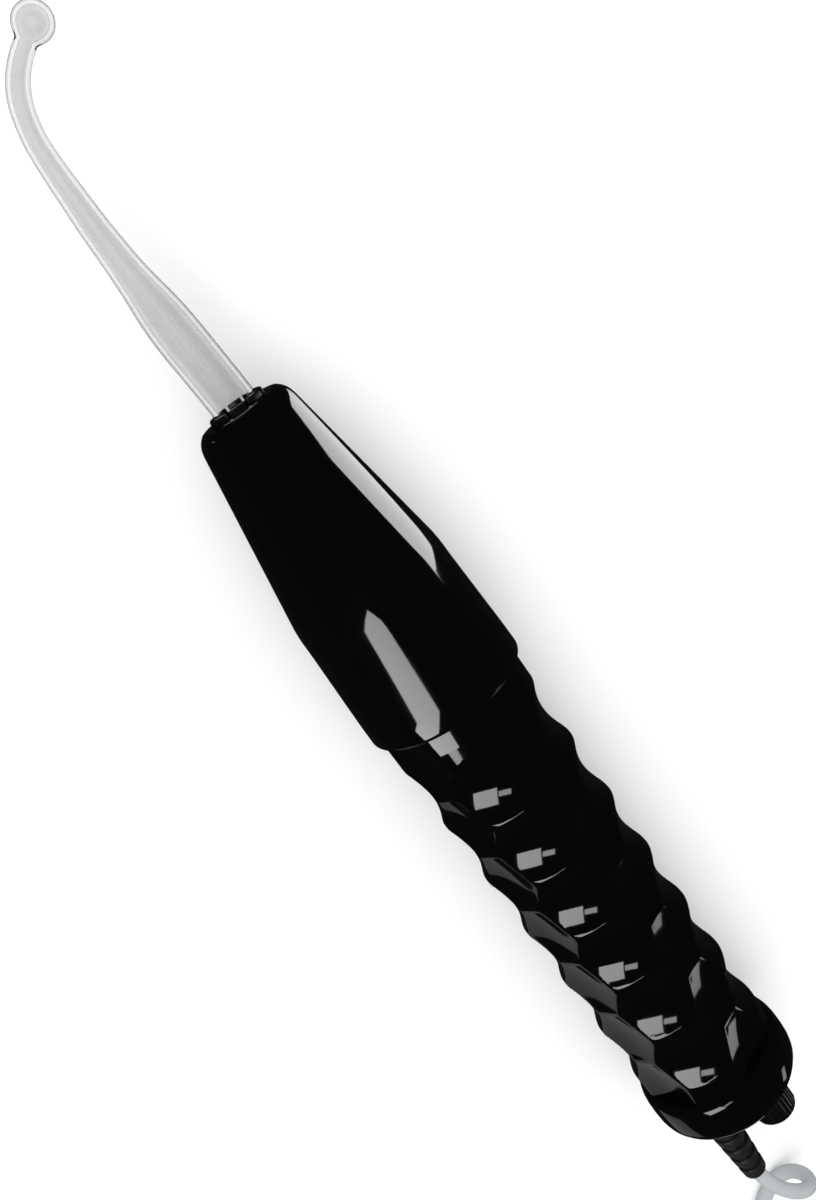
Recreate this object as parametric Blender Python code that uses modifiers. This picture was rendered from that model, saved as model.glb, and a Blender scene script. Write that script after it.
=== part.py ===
"""High-frequency facial wand: moulded handle with a honeycomb grip, a split collet that holds a bent glass
electrode, an intensity knob on the rear face, a ribbed cord boot and a coiled mains cord.

The wand lies along X with its glass tip at +X. Stations are millimetres behind the nose's front face."""
import math

import bmesh
import bpy
from mathutils import Matrix, Vector

for old in list(bpy.data.objects):
    bpy.data.objects.remove(old, do_unlink=True)

MM = 0.001
CLEAR = 0.3  # running and assembly clearance between pieces
TURN_STEPS = 48
INNER_STEPS = 32  # for round pieces that the shell hides

# ---- handle shell --------------------------------------------------------------------------------
SHELL_R = 21.4  # largest radius, shared by the nose collar and the rear cap, which the wand lies on
NOSE_LEN = 84.6
COIL_ROOM_R = 17.0  # the room inside the nose for the coil's front flange
COLLAR_TAPER = [  # station, how far the collar and the cone lie inside the largest radius
    (70.0, 0.5), (55.0, 1.0), (49.2, 1.3), (45.3, 1.9), (41.5, 2.5), (35.8, 3.45), (26.4, 5.2), (17.2, 6.6),
]
NOSE_FRONT = [  # station and radius of the rounded front
    (8.2, 13.35), (4.6, 12.7), (2.8, 12.15), (1.3, 11.3), (0.4, 10.5), (0.0, 9.75),
]
MOUTH_R = 7.4
MOUTH_DEPTH = 15.5
SPIGOT_LEN = 16.5  # how far the grip reaches into the nose collar
SPIGOT_R = 18.7
GRIP_R = 19.64
GRIP_BORE_R = 15.0
GRIP_END = 214.2
RIDGE_START = 93.8
RIDGE_PITCH = 19.14
DIMPLE_DEPTH = 2.15
DIMPLE_COLUMNS = 8
DIMPLE_ROWS = 6
DIMPLE_TURN = 9.7  # degrees from straight up, towards +Y, of the uppermost column of dimples
DIMPLE_WIDEN = (2.2, 1.5)  # how much wider round the grip than along it, in even and odd columns
CAP_END = 228.0
CAP_WALL = 2.6
CAP_ROOM_WALL = 3.9
CAP_SPIGOT_LEN = 3.5
CAP_SPIGOT_WALL = 1.5

# ---- electrode and its collet --------------------------------------------------------------------
GLASS_R = 5.5
GLASS_WALL = 1.0
GLASS_FOOT_R = 4.7
GLASS_INSERT = 26.0
FERRULE_FRONT = 18.4
FERRULE_WALL = 0.5
FERRULE_TIP_LEN = 3.0
FERRULE_TIP_R = 2.2
NECK_R = 2.35
BALL_R = 4.45
COLLET_PROUD = 1.6
COLLET_SLOTS = 8
COLLET_SLOT_W = 1.2
COLLET_SLOT_END = 11.0
COLLET_FLANGE_R = 8.6
COLLET_FLANGE_T = 2.2
SLEEVE_R = 9.0
SLEEVE_BORE_R = 6.2
SLEEVE_END = 48.0
SLEEVE_REAR_WALL = 2.7
WIRE_HOLE_R = 1.2
CONTACT_T = 3.7
SPRING_R = 3.9
SPRING_WIRE_R = 0.5
SPRING_TURNS = 5

# ---- high-voltage coil ---------------------------------------------------------------------------
CORE_R = 3.9
BOBBIN_WALL = 1.3
BOBBIN_FLANGE_T = 2.6
SECONDARY_LEN = 46.0
SECONDARY_R = 13.0
PRIMARY_LEN = 14.4
PRIMARY_R = 11.0

# ---- chassis and circuit board -------------------------------------------------------------------
CHASSIS_WALL = 2.0
BULKHEAD_T = 3.5
BOARD_DROP = 5.0  # the board's underside below the wand's axis
BOARD_T = 1.6
BOARD_W = 25.6
SCREW_RISE = 11.2  # the cap screws above and below the wand's axis
SCREW_R = 1.2
SCREW_HEAD_R = 2.4
SCREW_HEAD_T = 1.2

# ---- knob and potentiometer ----------------------------------------------------------------------
KNOB_SIDE = -6.5
KNOB_R = 6.2
KNOB_FRONT = 236.5
KNOB_LEN = 10.0
POINTER_W = 1.5
POINTER_DEPTH = 0.8
POT_R = 6.0
POT_LEN = 8.7
BUSHING_R = 4.3
BUSHING_END = 235.0
SHAFT_R = 2.9
NUT_ACROSS_CORNERS = 11.2
NUT_T = 2.5

# ---- cord ----------------------------------------------------------------------------------------
CORD_R = 2.15
CORD_SIDE = 8.6
BOOT_LEN = 32.0
BOOT_ROOT_R = 5.4
BOOT_TIP_R = 3.5
BOOT_NECK_R = 3.6
BOOT_FLANGE_R = 4.5
BOOT_RIBS = 5
RIB_GROOVE = 0.7
COIL_STATION = 332.0
COIL_SIDE = 22.0
COIL_R = 11 * CORD_R
COIL_ROWS = 3  # turns beside each other and on each other
COIL_HALF = COIL_ROWS * CORD_R + 0.2
COIL_BASE = 0.05  # the coil's underside above the floor
COIL_EDGE = 1.6
PLUG_STATION = 351.4  # the plug lies across the coil, its blades towards -Y
PLUG_BACK = 36.0
PLUG_LEN = 27.0
PLUG_W = 22.0
PLUG_T = 15.0
PLUG_EDGE = 2.0
BLADE_LEN = 17.0
BLADE_W = 6.35
BLADE_T = 1.5
BLADE_SPACING = 12.7
BLADE_SET = 10.0

# The free cord from the clamp to the coil: station, side, height above the axis of the wand.
LEAD_ROUTE = [
    (217.0, 8.6, 0.0), (232.0, 8.6, 0.0), (246.0, 8.6, 0.0), (260.0, 8.6, 0.0), (267.0, 7.6, -0.1),
    (274.5, 4.8, -1.0), (281.0, 0.9, -3.6), (285.2, -1.7, -8.6), (286.6, -1.6, -13.6),
    (286.8, 1.3, -17.6), (287.4, 5.0, -19.1), (288.6, 8.6, -19.2), (290.9, 12.3, -19.2),
    (294.1, 15.6, -19.2), (297.1, 18.7, -19.2), (298.9, 22.4, -19.2),
]
# The free cord from the coil to the plug.
TAIL_ROUTE = [
    (330.0, 50.2, -5.4), (335.8, 49.9, -5.2), (341.6, 48.3, -4.2), (346.4, 45.6, -2.5), (349.9, 42.2, -1.0),
    (351.3, 39.0, -0.35), (351.4, 36.6, -0.25),
]

AXIS_HEIGHT = SHELL_R
BOOT_END = CAP_END + BOOT_LEN
CAP_FRONT = GRIP_END + CLEAR
CAP_INSIDE = CAP_END - CAP_WALL
GLASS_LINE = [  # station, side of the glass tube's centreline, from its foot to the ball
    (GLASS_INSERT, 0.0), (22.0, 0.0), (FERRULE_FRONT, 0.0), (FERRULE_FRONT - 0.6, 0.0), (8.0, 0.0),
    (-2.0, 0.1), (-12.0, 0.6), (-22.0, 1.2), (-28.0, 1.4), (-33.0, 1.6), (-38.0, 1.8), (-43.0, 1.9),
    (-49.0, 2.0), (-55.0, 1.9), (-60.5, 1.8), (-65.0, 1.6), (-69.0, 1.2), (-72.5, 0.4), (-75.5, -0.6),
    (-78.0, -1.9), (-80.2, -3.5), (-82.0, -5.3), (-83.5, -7.2), (-84.7, -9.1),
]
GLASS_RADII = [
    GLASS_FOOT_R, GLASS_FOOT_R, GLASS_FOOT_R, GLASS_R, GLASS_R,
    GLASS_R, GLASS_R, GLASS_R, 5.0, 4.35, 3.85, 3.55,
    3.3, 3.05, 2.85, 2.7, 2.6, 2.55, 2.55,
    2.55, 2.5, 2.45, 2.4, NECK_R,
]
BALL_CENTRE = (-86.9, -12.6)
TIP = -(BALL_CENTRE[0] - BALL_R)
NOSE_X = (BOOT_END - TIP) / 2  # centres the wand on the origin, between its glass tip and its cord boot

parts = bpy.data.collections.new("facial_wand")
cutters = bpy.data.collections.new("cutters")
bpy.context.scene.collection.children.link(parts)
bpy.context.scene.collection.children.link(cutters)


def material(name, colour, roughness, metallic=0.0, transmission=0.0):
    made = bpy.data.materials.new(name)
    made.use_nodes = True
    shader = made.node_tree.nodes["Principled BSDF"]
    shader.inputs["Base Color"].default_value = (*colour, 1.0)
    shader.inputs["Roughness"].default_value = roughness
    shader.inputs["Metallic"].default_value = metallic
    shader.inputs["Transmission Weight"].default_value = transmission
    return made


def at(station, side=0.0, rise=0.0):
    """World place, in metres, of a point given by its station, side and height above the wand's axis."""
    return Vector(((NOSE_X - station) * MM, side * MM, (AXIS_HEIGHT + rise) * MM))


def keep(obj, name, finish, home=parts):
    """Names an object, gives it its own material and moves it to its collection."""
    obj.name = name
    obj.data.name = name
    for held in list(obj.users_collection):
        held.objects.unlink(obj)
    home.objects.link(obj)
    if home is cutters:
        obj.hide_render = True
        obj.display_type = "WIRE"
        return obj
    obj.data.materials.clear()
    obj.data.materials.append(material(name, *finish))
    return obj


def turned(name, profile, finish, side=0.0, rise=0.0, steps=TURN_STEPS, home=parts, closed=True):
    """A solid of revolution about the wand's direction. The profile's points are (station, radius)."""
    mesh = bpy.data.meshes.new(name)
    shape = bmesh.new()
    corners = [shape.verts.new((radius * MM, 0.0, station * MM)) for station, radius in profile]
    for first, second in zip(corners, corners[1:]):
        shape.edges.new((first, second))
    if closed:
        shape.edges.new((corners[-1], corners[0]))
    shape.to_mesh(mesh)
    shape.free()
    obj = bpy.data.objects.new(name, mesh)
    bpy.context.scene.collection.objects.link(obj)
    obj.location = at(0.0, side, rise)
    obj.rotation_euler = (0.0, -math.pi / 2, 0.0)
    screw = obj.modifiers.new("turn", "SCREW")
    screw.axis = "Z"
    screw.steps = steps
    screw.render_steps = steps
    screw.use_merge_vertices = True
    screw.merge_threshold = 0.00001
    screw.use_smooth_shade = False
    return keep(obj, name, finish, home)


def ring(name, front, rear, inner, outer, finish, **place):
    return turned(name, [(rear, outer), (front, outer), (front, inner), (rear, inner)], finish, **place)


def rod(name, front, rear, radius, finish, **place):
    return turned(name, [(rear, 0.0), (rear, radius), (front, radius), (front, 0.0)], finish, closed=False, **place)


def box(name, stations, sides, rises, finish, home=parts, bevel=0.0):
    """A block between two stations, two sides and two heights above the axis."""
    middle = [(low + high) / 2 for low, high in (stations, sides, rises)]
    size = [abs(high - low) * MM for low, high in (stations, sides, rises)]
    bpy.ops.mesh.primitive_cube_add(size=1.0, location=at(*middle))
    obj = bpy.context.object
    obj.scale = size
    bpy.ops.object.transform_apply(location=False, rotation=False, scale=True)
    if bevel:
        rounding = obj.modifiers.new("edges", "BEVEL")
        rounding.width = bevel * MM
        rounding.segments = 2
    return keep(obj, name, finish, home)


def cut(obj, *tools, operation="DIFFERENCE"):
    for tool in tools:
        change = obj.modifiers.new(operation.lower() + "_" + tool.name, "BOOLEAN")
        change.operation = operation
        change.solver = "EXACT"
        change.object = tool


def smooth_line(points, spacing):
    """Points at even steps along a centripetal Catmull-Rom curve through the given points."""
    knots = [Vector(p) for p in points]
    knots = [2 * knots[0] - knots[1]] + knots + [2 * knots[-1] - knots[-2]]
    fine = []
    for p0, p1, p2, p3 in zip(knots, knots[1:], knots[2:], knots[3:]):
        t0 = 0.0
        t1 = t0 + math.sqrt((p1 - p0).length)
        t2 = t1 + math.sqrt((p2 - p1).length)
        t3 = t2 + math.sqrt((p3 - p2).length)
        for step in range(24):
            t = t1 + (t2 - t1) * step / 24
            a1 = p0 * ((t1 - t) / (t1 - t0)) + p1 * ((t - t0) / (t1 - t0))
            a2 = p1 * ((t2 - t) / (t2 - t1)) + p2 * ((t - t1) / (t2 - t1))
            a3 = p2 * ((t3 - t) / (t3 - t2)) + p3 * ((t - t2) / (t3 - t2))
            b1 = a1 * ((t2 - t) / (t2 - t0)) + a2 * ((t - t0) / (t2 - t0))
            b2 = a2 * ((t3 - t) / (t3 - t1)) + a3 * ((t - t1) / (t3 - t1))
            fine.append(b1 * ((t2 - t) / (t2 - t1)) + b2 * ((t - t1) / (t2 - t1)))
    fine.append(Vector(points[-1]))
    lengths = [0.0]
    for first, second in zip(fine, fine[1:]):
        lengths.append(lengths[-1] + (second - first).length)
    count = max(2, round(lengths[-1] / spacing))
    even, place = [], 0
    for step in range(count + 1):
        goal = lengths[-1] * step / count
        while place < len(lengths) - 2 and lengths[place + 1] < goal:
            place += 1
        share = (goal - lengths[place]) / (lengths[place + 1] - lengths[place])
        even.append(fine[place].lerp(fine[place + 1], min(1.0, share)))
    return even


def tube(name, points, radius, finish, radii=None, resolution=2, capped=True, home=parts):
    """A round bar along world points in metres, with its radius in millimetres at each point."""
    line = bpy.data.curves.new(name, "CURVE")
    line.dimensions = "3D"
    line.bevel_depth = radius * MM
    line.bevel_resolution = resolution
    line.use_fill_caps = capped
    run = line.splines.new("POLY")
    run.points.add(len(points) - 1)
    for place, point in enumerate(points):
        run.points[place].co = (*point, 1.0)
        run.points[place].radius = radii[place] / radius if radii else 1.0
    obj = bpy.data.objects.new(name, line)
    bpy.context.scene.collection.objects.link(obj)
    return keep(obj, name, finish, home)


BLACK_GLOSS = ((0.012, 0.012, 0.014), 0.12)
BLACK_SOFT = ((0.02, 0.02, 0.022), 0.45)
STEEL = ((0.62, 0.62, 0.60), 0.3, 1.0)
BRASS = ((0.78, 0.60, 0.28), 0.3, 1.0)
COPPER = ((0.72, 0.33, 0.16), 0.35, 1.0)
CORD_GREY = ((0.62, 0.66, 0.68), 0.5)


# ---- nose: cone and collar in one moulding -------------------------------------------------------
def make_nose():
    flare = NOSE_LEN - SPIGOT_LEN
    sleeve_seat = SLEEVE_R + CLEAR
    outside = [(NOSE_LEN, SHELL_R - 1.2), (NOSE_LEN - 0.4, SHELL_R - 0.5), (NOSE_LEN - 1.2, SHELL_R)]
    outside += [(station, SHELL_R - drop) for station, drop in COLLAR_TAPER] + NOSE_FRONT
    inside = [
        (0.0, MOUTH_R), (MOUTH_DEPTH, MOUTH_R), (MOUTH_DEPTH, sleeve_seat),
        (SLEEVE_END + CLEAR, sleeve_seat), (SLEEVE_END + CLEAR, COIL_ROOM_R), (flare, COIL_ROOM_R),
        (flare, SPIGOT_R + CLEAR), (NOSE_LEN, SPIGOT_R + CLEAR),
    ]
    turned("nose_cone", outside + inside, BLACK_GLOSS)


# ---- grip: tube with honeycomb dimples -----------------------------------------------------------
def make_grip():
    front = NOSE_LEN - SPIGOT_LEN + CLEAR
    shoulder = NOSE_LEN + CLEAR
    grip = turned("grip_body", [
        (GRIP_END, GRIP_R), (shoulder, GRIP_R), (shoulder, SPIGOT_R), (front, SPIGOT_R),
        (front, GRIP_BORE_R), (GRIP_END, GRIP_BORE_R),
    ], BLACK_GLOSS, steps=64)
    half = RIDGE_PITCH / 2
    dish = (half * half + DIMPLE_DEPTH * DIMPLE_DEPTH) / (2 * DIMPLE_DEPTH)
    shape = bmesh.new()
    for column in range(DIMPLE_COLUMNS):
        turn = math.radians(DIMPLE_TURN + 360 / DIMPLE_COLUMNS * column)
        outward = Vector((0.0, math.sin(turn), math.cos(turn)))
        offset = 0.5 if column % 2 == 0 else 0.0
        rows = DIMPLE_ROWS if column % 2 == 0 else DIMPLE_ROWS + 1
        for row in range(rows):
            station = RIDGE_START + RIDGE_PITCH * (row + offset)
            centre = at(station) + outward * (GRIP_R - DIMPLE_DEPTH + dish) * MM
            ball = bmesh.ops.create_uvsphere(shape, u_segments=12, v_segments=26, radius=dish * MM)
            aim = outward.to_track_quat("Z", "X").to_matrix().to_4x4()
            aim.translation = centre
            aim = aim @ Matrix.Diagonal((DIMPLE_WIDEN[column % 2], 1.0, 1.0, 1.0))
            bmesh.ops.transform(shape, matrix=aim, verts=ball["verts"])
    mesh = bpy.data.meshes.new("dimple_cutter")
    shape.to_mesh(mesh)
    shape.free()
    tool = bpy.data.objects.new("dimple_cutter", mesh)
    bpy.context.scene.collection.objects.link(tool)
    keep(tool, "dimple_cutter", None, cutters)
    change = grip.modifiers.new("dimples", "BOOLEAN")
    change.operation = "DIFFERENCE"
    change.solver = "EXACT"
    change.use_self = True
    change.object = tool


# ---- rear cap ------------------------------------------------------------------------------------
def make_cap():
    room = SHELL_R - CAP_ROOM_WALL
    spigot = GRIP_BORE_R - CLEAR
    throat = spigot - CAP_SPIGOT_WALL
    cap = turned("rear_cap", [
        (CAP_END, 0.0), (CAP_END, SHELL_R - 2.2), (CAP_END - 0.5, SHELL_R - 0.9), (CAP_END - 2.0, SHELL_R),
        (CAP_FRONT + 3.5, SHELL_R), (CAP_FRONT + 1.6, SHELL_R - 0.4), (CAP_FRONT + 0.6, SHELL_R - 1.0),
        (CAP_FRONT, GRIP_R - 0.2), (CAP_FRONT, spigot), (CAP_FRONT - CAP_SPIGOT_LEN, spigot),
        (CAP_FRONT - CAP_SPIGOT_LEN, throat), (CAP_FRONT + 1.5, throat), (CAP_FRONT + 3.5, room),
        (CAP_INSIDE, room), (CAP_INSIDE, 0.0),
    ], BLACK_GLOSS, closed=False)
    holes = [
        rod("bushing_hole", CAP_INSIDE - 1, CAP_END + 1, BUSHING_R + CLEAR, None, side=KNOB_SIDE, home=cutters),
        rod("cord_hole", CAP_INSIDE - 1, CAP_END + 1, BOOT_NECK_R + CLEAR, None, side=CORD_SIDE, home=cutters),
    ]
    for number, rise in enumerate((SCREW_RISE, -SCREW_RISE), 1):
        holes.append(rod(f"screw_hole_{number}", CAP_INSIDE - 1, CAP_END + 1, SCREW_R + CLEAR, None,
                         rise=rise, steps=16, home=cutters))
        holes.append(rod(f"screw_seat_{number}", CAP_END - SCREW_HEAD_T - CLEAR, CAP_END + 1,
                         SCREW_HEAD_R + CLEAR, None, rise=rise, steps=24, home=cutters))
    cut(cap, *holes)


# ---- chassis that the cap screws hold, and the board on it ----------------------------------------
def make_chassis(coil_end):
    outer = GRIP_BORE_R - CLEAR
    rear = CAP_FRONT - CAP_SPIGOT_LEN - CLEAR
    trough_front = coil_end + CLEAR
    chassis = turned("chassis", [
        (rear, 0.0), (rear, outer), (trough_front, outer), (trough_front, outer - CHASSIS_WALL),
        (rear - BULKHEAD_T, outer - CHASSIS_WALL), (rear - BULKHEAD_T, 0.0),
    ], ((0.75, 0.74, 0.70), 0.55), closed=False, steps=INNER_STEPS)
    cut(chassis, box("chassis_opening", (trough_front - 1, rear - BULKHEAD_T), (-outer - 1, outer + 1),
                     (-BOARD_DROP - CLEAR, outer + 1), None, home=cutters))
    for number, rise in enumerate((SCREW_RISE, -SCREW_RISE), 1):
        cut(chassis, rod(f"bulkhead_hole_{number}", rear - BULKHEAD_T - CHASSIS_WALL - 1, rear + 1,
                         SCREW_R + CLEAR, None, rise=rise, steps=16, home=cutters))
        make_cap_screw(number, rise, rear - BULKHEAD_T - 0.5)
    make_board(trough_front, rear - BULKHEAD_T)


def make_cap_screw(number, rise, tip):
    head = CAP_END - SCREW_HEAD_T
    turned(f"cap_screw_{number}", [
        (CAP_END, 0.0), (CAP_END, SCREW_HEAD_R - 0.3), (CAP_END - 0.3, SCREW_HEAD_R), (head, SCREW_HEAD_R),
        (head, SCREW_R), (tip + 1.0, SCREW_R), (tip, 0.0),
    ], STEEL, rise=rise, steps=24, closed=False)


def make_board(front, rear):
    top = -BOARD_DROP + BOARD_T
    seat = top + CLEAR
    start, end = front + 1.5, rear - 1.5
    box("circuit_board", (start, end), (-BOARD_W / 2, BOARD_W / 2), (-BOARD_DROP, top), ((0.05, 0.22, 0.10), 0.4))
    box("film_capacitor", (start + 4, start + 22), (-10.0, -1.0), (seat, seat + 11.0), ((0.45, 0.10, 0.05), 0.35),
        bevel=0.8)
    rod("electrolytic_capacitor", start + 28, start + 44, 5.0, ((0.05, 0.06, 0.20), 0.35),
        side=-5.0, rise=seat + 5.0, steps=24)
    for number, side in enumerate((5.0, 9.0), 1):
        rod(f"resistor_{number}", start + 6, start + 14, 1.25, ((0.70, 0.58, 0.40), 0.5),
            side=side, rise=seat + 1.25, steps=16)
    box("heat_sink", (start + 48, start + 70), (3.0, 5.0), (seat, seat + 14.0), ((0.6, 0.6, 0.62), 0.4, 1.0))
    transistor = box("power_transistor", (start + 54, start + 64), (-1.8, 3.0 - CLEAR), (seat + 4.0, seat + 13.0),
                     ((0.03, 0.03, 0.03), 0.5))
    for leg in (-2.5, 0.0, 2.5):
        middle = start + 59 + leg
        cut(transistor, box(f"transistor_leg_{leg:+.1f}", (middle - 0.4, middle + 0.4), (0.0, 0.8),
                            (seat, seat + 5.0), None, home=cutters), operation="UNION")
    box("rectifier", (start + 30, start + 37), (3.5, 9.5), (seat, seat + 3.2), ((0.03, 0.03, 0.03), 0.5), bevel=0.4)


# ---- split collet, glass electrode and its contact -----------------------------------------------
def make_collet():
    outer = MOUTH_R - CLEAR
    bore = GLASS_R + CLEAR
    flange = MOUTH_DEPTH + CLEAR
    collet = turned("collet", [
        (flange + COLLET_FLANGE_T, COLLET_FLANGE_R), (flange, COLLET_FLANGE_R), (flange, outer),
        (-COLLET_PROUD + 0.5, outer), (-COLLET_PROUD, outer - 0.5), (-COLLET_PROUD, bore + 0.2),
        (-COLLET_PROUD + 0.4, bore), (flange + COLLET_FLANGE_T, bore),
    ], BLACK_SOFT)
    for number in range(COLLET_SLOTS // 2):
        slot = box(f"collet_slot_{number}", (-COLLET_PROUD - 1, COLLET_SLOT_END),
                   (-COLLET_SLOT_W / 2, COLLET_SLOT_W / 2), (-outer - 1, outer + 1), None, home=cutters)
        slot.rotation_euler = (math.radians(180 / (COLLET_SLOTS // 2) * (number + 0.5)), 0.0, 0.0)
        cut(collet, slot)


def make_electrode():
    line = [at(station, side) for station, side in GLASS_LINE]
    radii = list(GLASS_RADII)
    centre = at(*BALL_CENTRE)
    towards = (centre - line[-1]).normalized()
    start = -math.sqrt(BALL_R ** 2 - NECK_R ** 2)
    stops = 9
    line.pop()
    radii.pop()
    for stop in range(stops + 1):
        angle = math.acos(-start / BALL_R) * (1 - stop / stops) + math.pi * stop / stops
        line.append(centre - towards * BALL_R * math.cos(angle) * MM)
        radii.append(max(BALL_R * math.sin(angle), 0.0001))
    glass = tube("glass_tube", line, GLASS_R, ((0.92, 0.95, 0.96), 0.03, 0.0, 1.0), radii=radii, resolution=6,
                 capped=False)
    bpy.ops.object.select_all(action="DESELECT")
    glass.select_set(True)
    bpy.context.view_layer.objects.active = glass
    bpy.ops.object.convert(target="MESH")
    glass = bpy.context.object
    shape = bmesh.new()
    shape.from_mesh(glass.data)
    bmesh.ops.remove_doubles(shape, verts=shape.verts, dist=0.00001)
    bmesh.ops.recalc_face_normals(shape, faces=shape.faces)
    shape.to_mesh(glass.data)
    shape.free()
    wall = glass.modifiers.new("wall", "SOLIDIFY")
    wall.thickness = GLASS_WALL * MM
    wall.offset = -1.0
    inner = GLASS_FOOT_R + CLEAR
    outer = inner + FERRULE_WALL
    end = GLASS_INSERT + CLEAR
    tip = end + 1.7
    turned("ferrule", [
        (tip + FERRULE_TIP_LEN, 0.0), (tip + FERRULE_TIP_LEN, FERRULE_TIP_R - 0.6),
        (tip + FERRULE_TIP_LEN - 0.6, FERRULE_TIP_R), (tip, FERRULE_TIP_R), (tip, outer),
        (FERRULE_FRONT, outer), (FERRULE_FRONT, inner), (end, inner), (end, 0.0),
    ], STEEL, closed=False, steps=INNER_STEPS)
    return tip + FERRULE_TIP_LEN


def make_socket(contact_front):
    front = MOUTH_DEPTH + CLEAR + COLLET_FLANGE_T + CLEAR
    floor = SLEEVE_END - SLEEVE_REAR_WALL
    turned("socket_sleeve", [
        (SLEEVE_END, SLEEVE_R), (front, SLEEVE_R), (front, SLEEVE_BORE_R), (floor, SLEEVE_BORE_R),
        (floor, WIRE_HOLE_R), (SLEEVE_END, WIRE_HOLE_R),
    ], ((0.80, 0.79, 0.76), 0.5), steps=INNER_STEPS)
    rear = contact_front + CONTACT_T
    turned("contact_cup", [
        (rear, 0.0), (rear, SLEEVE_BORE_R - CLEAR), (contact_front, SLEEVE_BORE_R - CLEAR),
        (contact_front, FERRULE_TIP_R + 1.4), (contact_front + 0.8, FERRULE_TIP_R), (contact_front + 0.8, 0.0),
    ], BRASS, closed=False, steps=INNER_STEPS)
    first = rear + CLEAR + SPRING_WIRE_R
    last = floor - CLEAR - SPRING_WIRE_R
    per_turn = 12
    count = SPRING_TURNS * per_turn
    coil = []
    for step in range(count + 1):
        angle = 2 * math.pi * step / per_turn
        station = first + (last - first) * step / count
        coil.append(at(station, SPRING_R * math.cos(angle), SPRING_R * math.sin(angle)))
    tube("contact_spring", coil, SPRING_WIRE_R, STEEL, resolution=1)


# ---- high-voltage coil ---------------------------------------------------------------------------
def make_coil():
    """Bobbin, windings and core, from the socket sleeve rearwards. Returns the bobbin's last station."""
    first = SLEEVE_END + 2 * CLEAR
    neck = first + BOBBIN_FLANGE_T
    divider = neck + SECONDARY_LEN
    second = divider + BOBBIN_FLANGE_T
    last = second + PRIMARY_LEN
    end = last + BOBBIN_FLANGE_T
    bore = CORE_R + CLEAR
    barrel = bore + BOBBIN_WALL
    flange = GRIP_BORE_R - CLEAR
    front_flange = COIL_ROOM_R - CLEAR
    turned("coil_bobbin", [
        (end, flange), (last, flange), (last, barrel), (second, barrel), (second, flange), (divider, flange),
        (divider, barrel), (neck, barrel), (neck, front_flange), (first, front_flange), (first, bore), (end, bore),
    ], ((0.82, 0.78, 0.66), 0.5), steps=INNER_STEPS)
    ring("secondary_winding", neck + CLEAR, divider - CLEAR, barrel + CLEAR, SECONDARY_R, COPPER, steps=INNER_STEPS)
    ring("primary_winding", second + CLEAR, last - CLEAR, barrel + CLEAR, PRIMARY_R, COPPER, steps=INNER_STEPS)
    rod("ferrite_core", first + 1.0, end - 0.5, CORE_R, ((0.05, 0.05, 0.055), 0.6), steps=INNER_STEPS)
    return end


# ---- potentiometer and knob ----------------------------------------------------------------------
def make_control():
    body_rear = CAP_INSIDE - CLEAR
    body_front = body_rear - POT_LEN
    bore = SHAFT_R + CLEAR
    turned("potentiometer", [
        (body_front + 1.5, 0.0), (body_front + 1.5, bore), (BUSHING_END, bore), (BUSHING_END, BUSHING_R),
        (body_rear, BUSHING_R), (body_rear, POT_R), (body_front, POT_R), (body_front, 0.0),
    ], ((0.25, 0.25, 0.26), 0.4, 0.6), side=KNOB_SIDE, closed=False, steps=INNER_STEPS)
    nut_front = CAP_END + CLEAR
    nut = rod("bushing_nut", nut_front, nut_front + NUT_T, NUT_ACROSS_CORNERS / 2, STEEL, side=KNOB_SIDE, steps=6)
    cut(nut, rod("nut_bore", nut_front - 1, nut_front + NUT_T + 1, BUSHING_R + CLEAR, None, side=KNOB_SIDE,
                 steps=24, home=cutters))
    knob_rear = KNOB_FRONT + KNOB_LEN
    shaft_rear = knob_rear - 2.0
    rod("knob_shaft", body_front + 1.5 + CLEAR, shaft_rear, SHAFT_R, STEEL, side=KNOB_SIDE, steps=INNER_STEPS)
    knob = turned("knob", [
        (knob_rear, 0.0), (knob_rear, KNOB_R - 0.7), (knob_rear - 0.2, KNOB_R - 0.2), (knob_rear - 0.7, KNOB_R),
        (KNOB_FRONT + 0.4, KNOB_R), (KNOB_FRONT, KNOB_R - 0.4), (KNOB_FRONT, bore),
        (shaft_rear + CLEAR, bore), (shaft_rear + CLEAR, 0.0),
    ], BLACK_GLOSS, side=KNOB_SIDE, closed=False)
    groove = KNOB_R - POINTER_DEPTH
    half = POINTER_W / 2
    cut(knob, box("pointer_groove", (KNOB_FRONT - 1, knob_rear + 1), (KNOB_SIDE - KNOB_R - 1, KNOB_SIDE - groove),
                  (-half - CLEAR, half + CLEAR), None, home=cutters))
    box("knob_pointer", (KNOB_FRONT + CLEAR, knob_rear - CLEAR), (KNOB_SIDE - KNOB_R, KNOB_SIDE - groove - CLEAR),
        (-half, half), ((0.30, 0.01, 0.03), 0.35))


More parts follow.
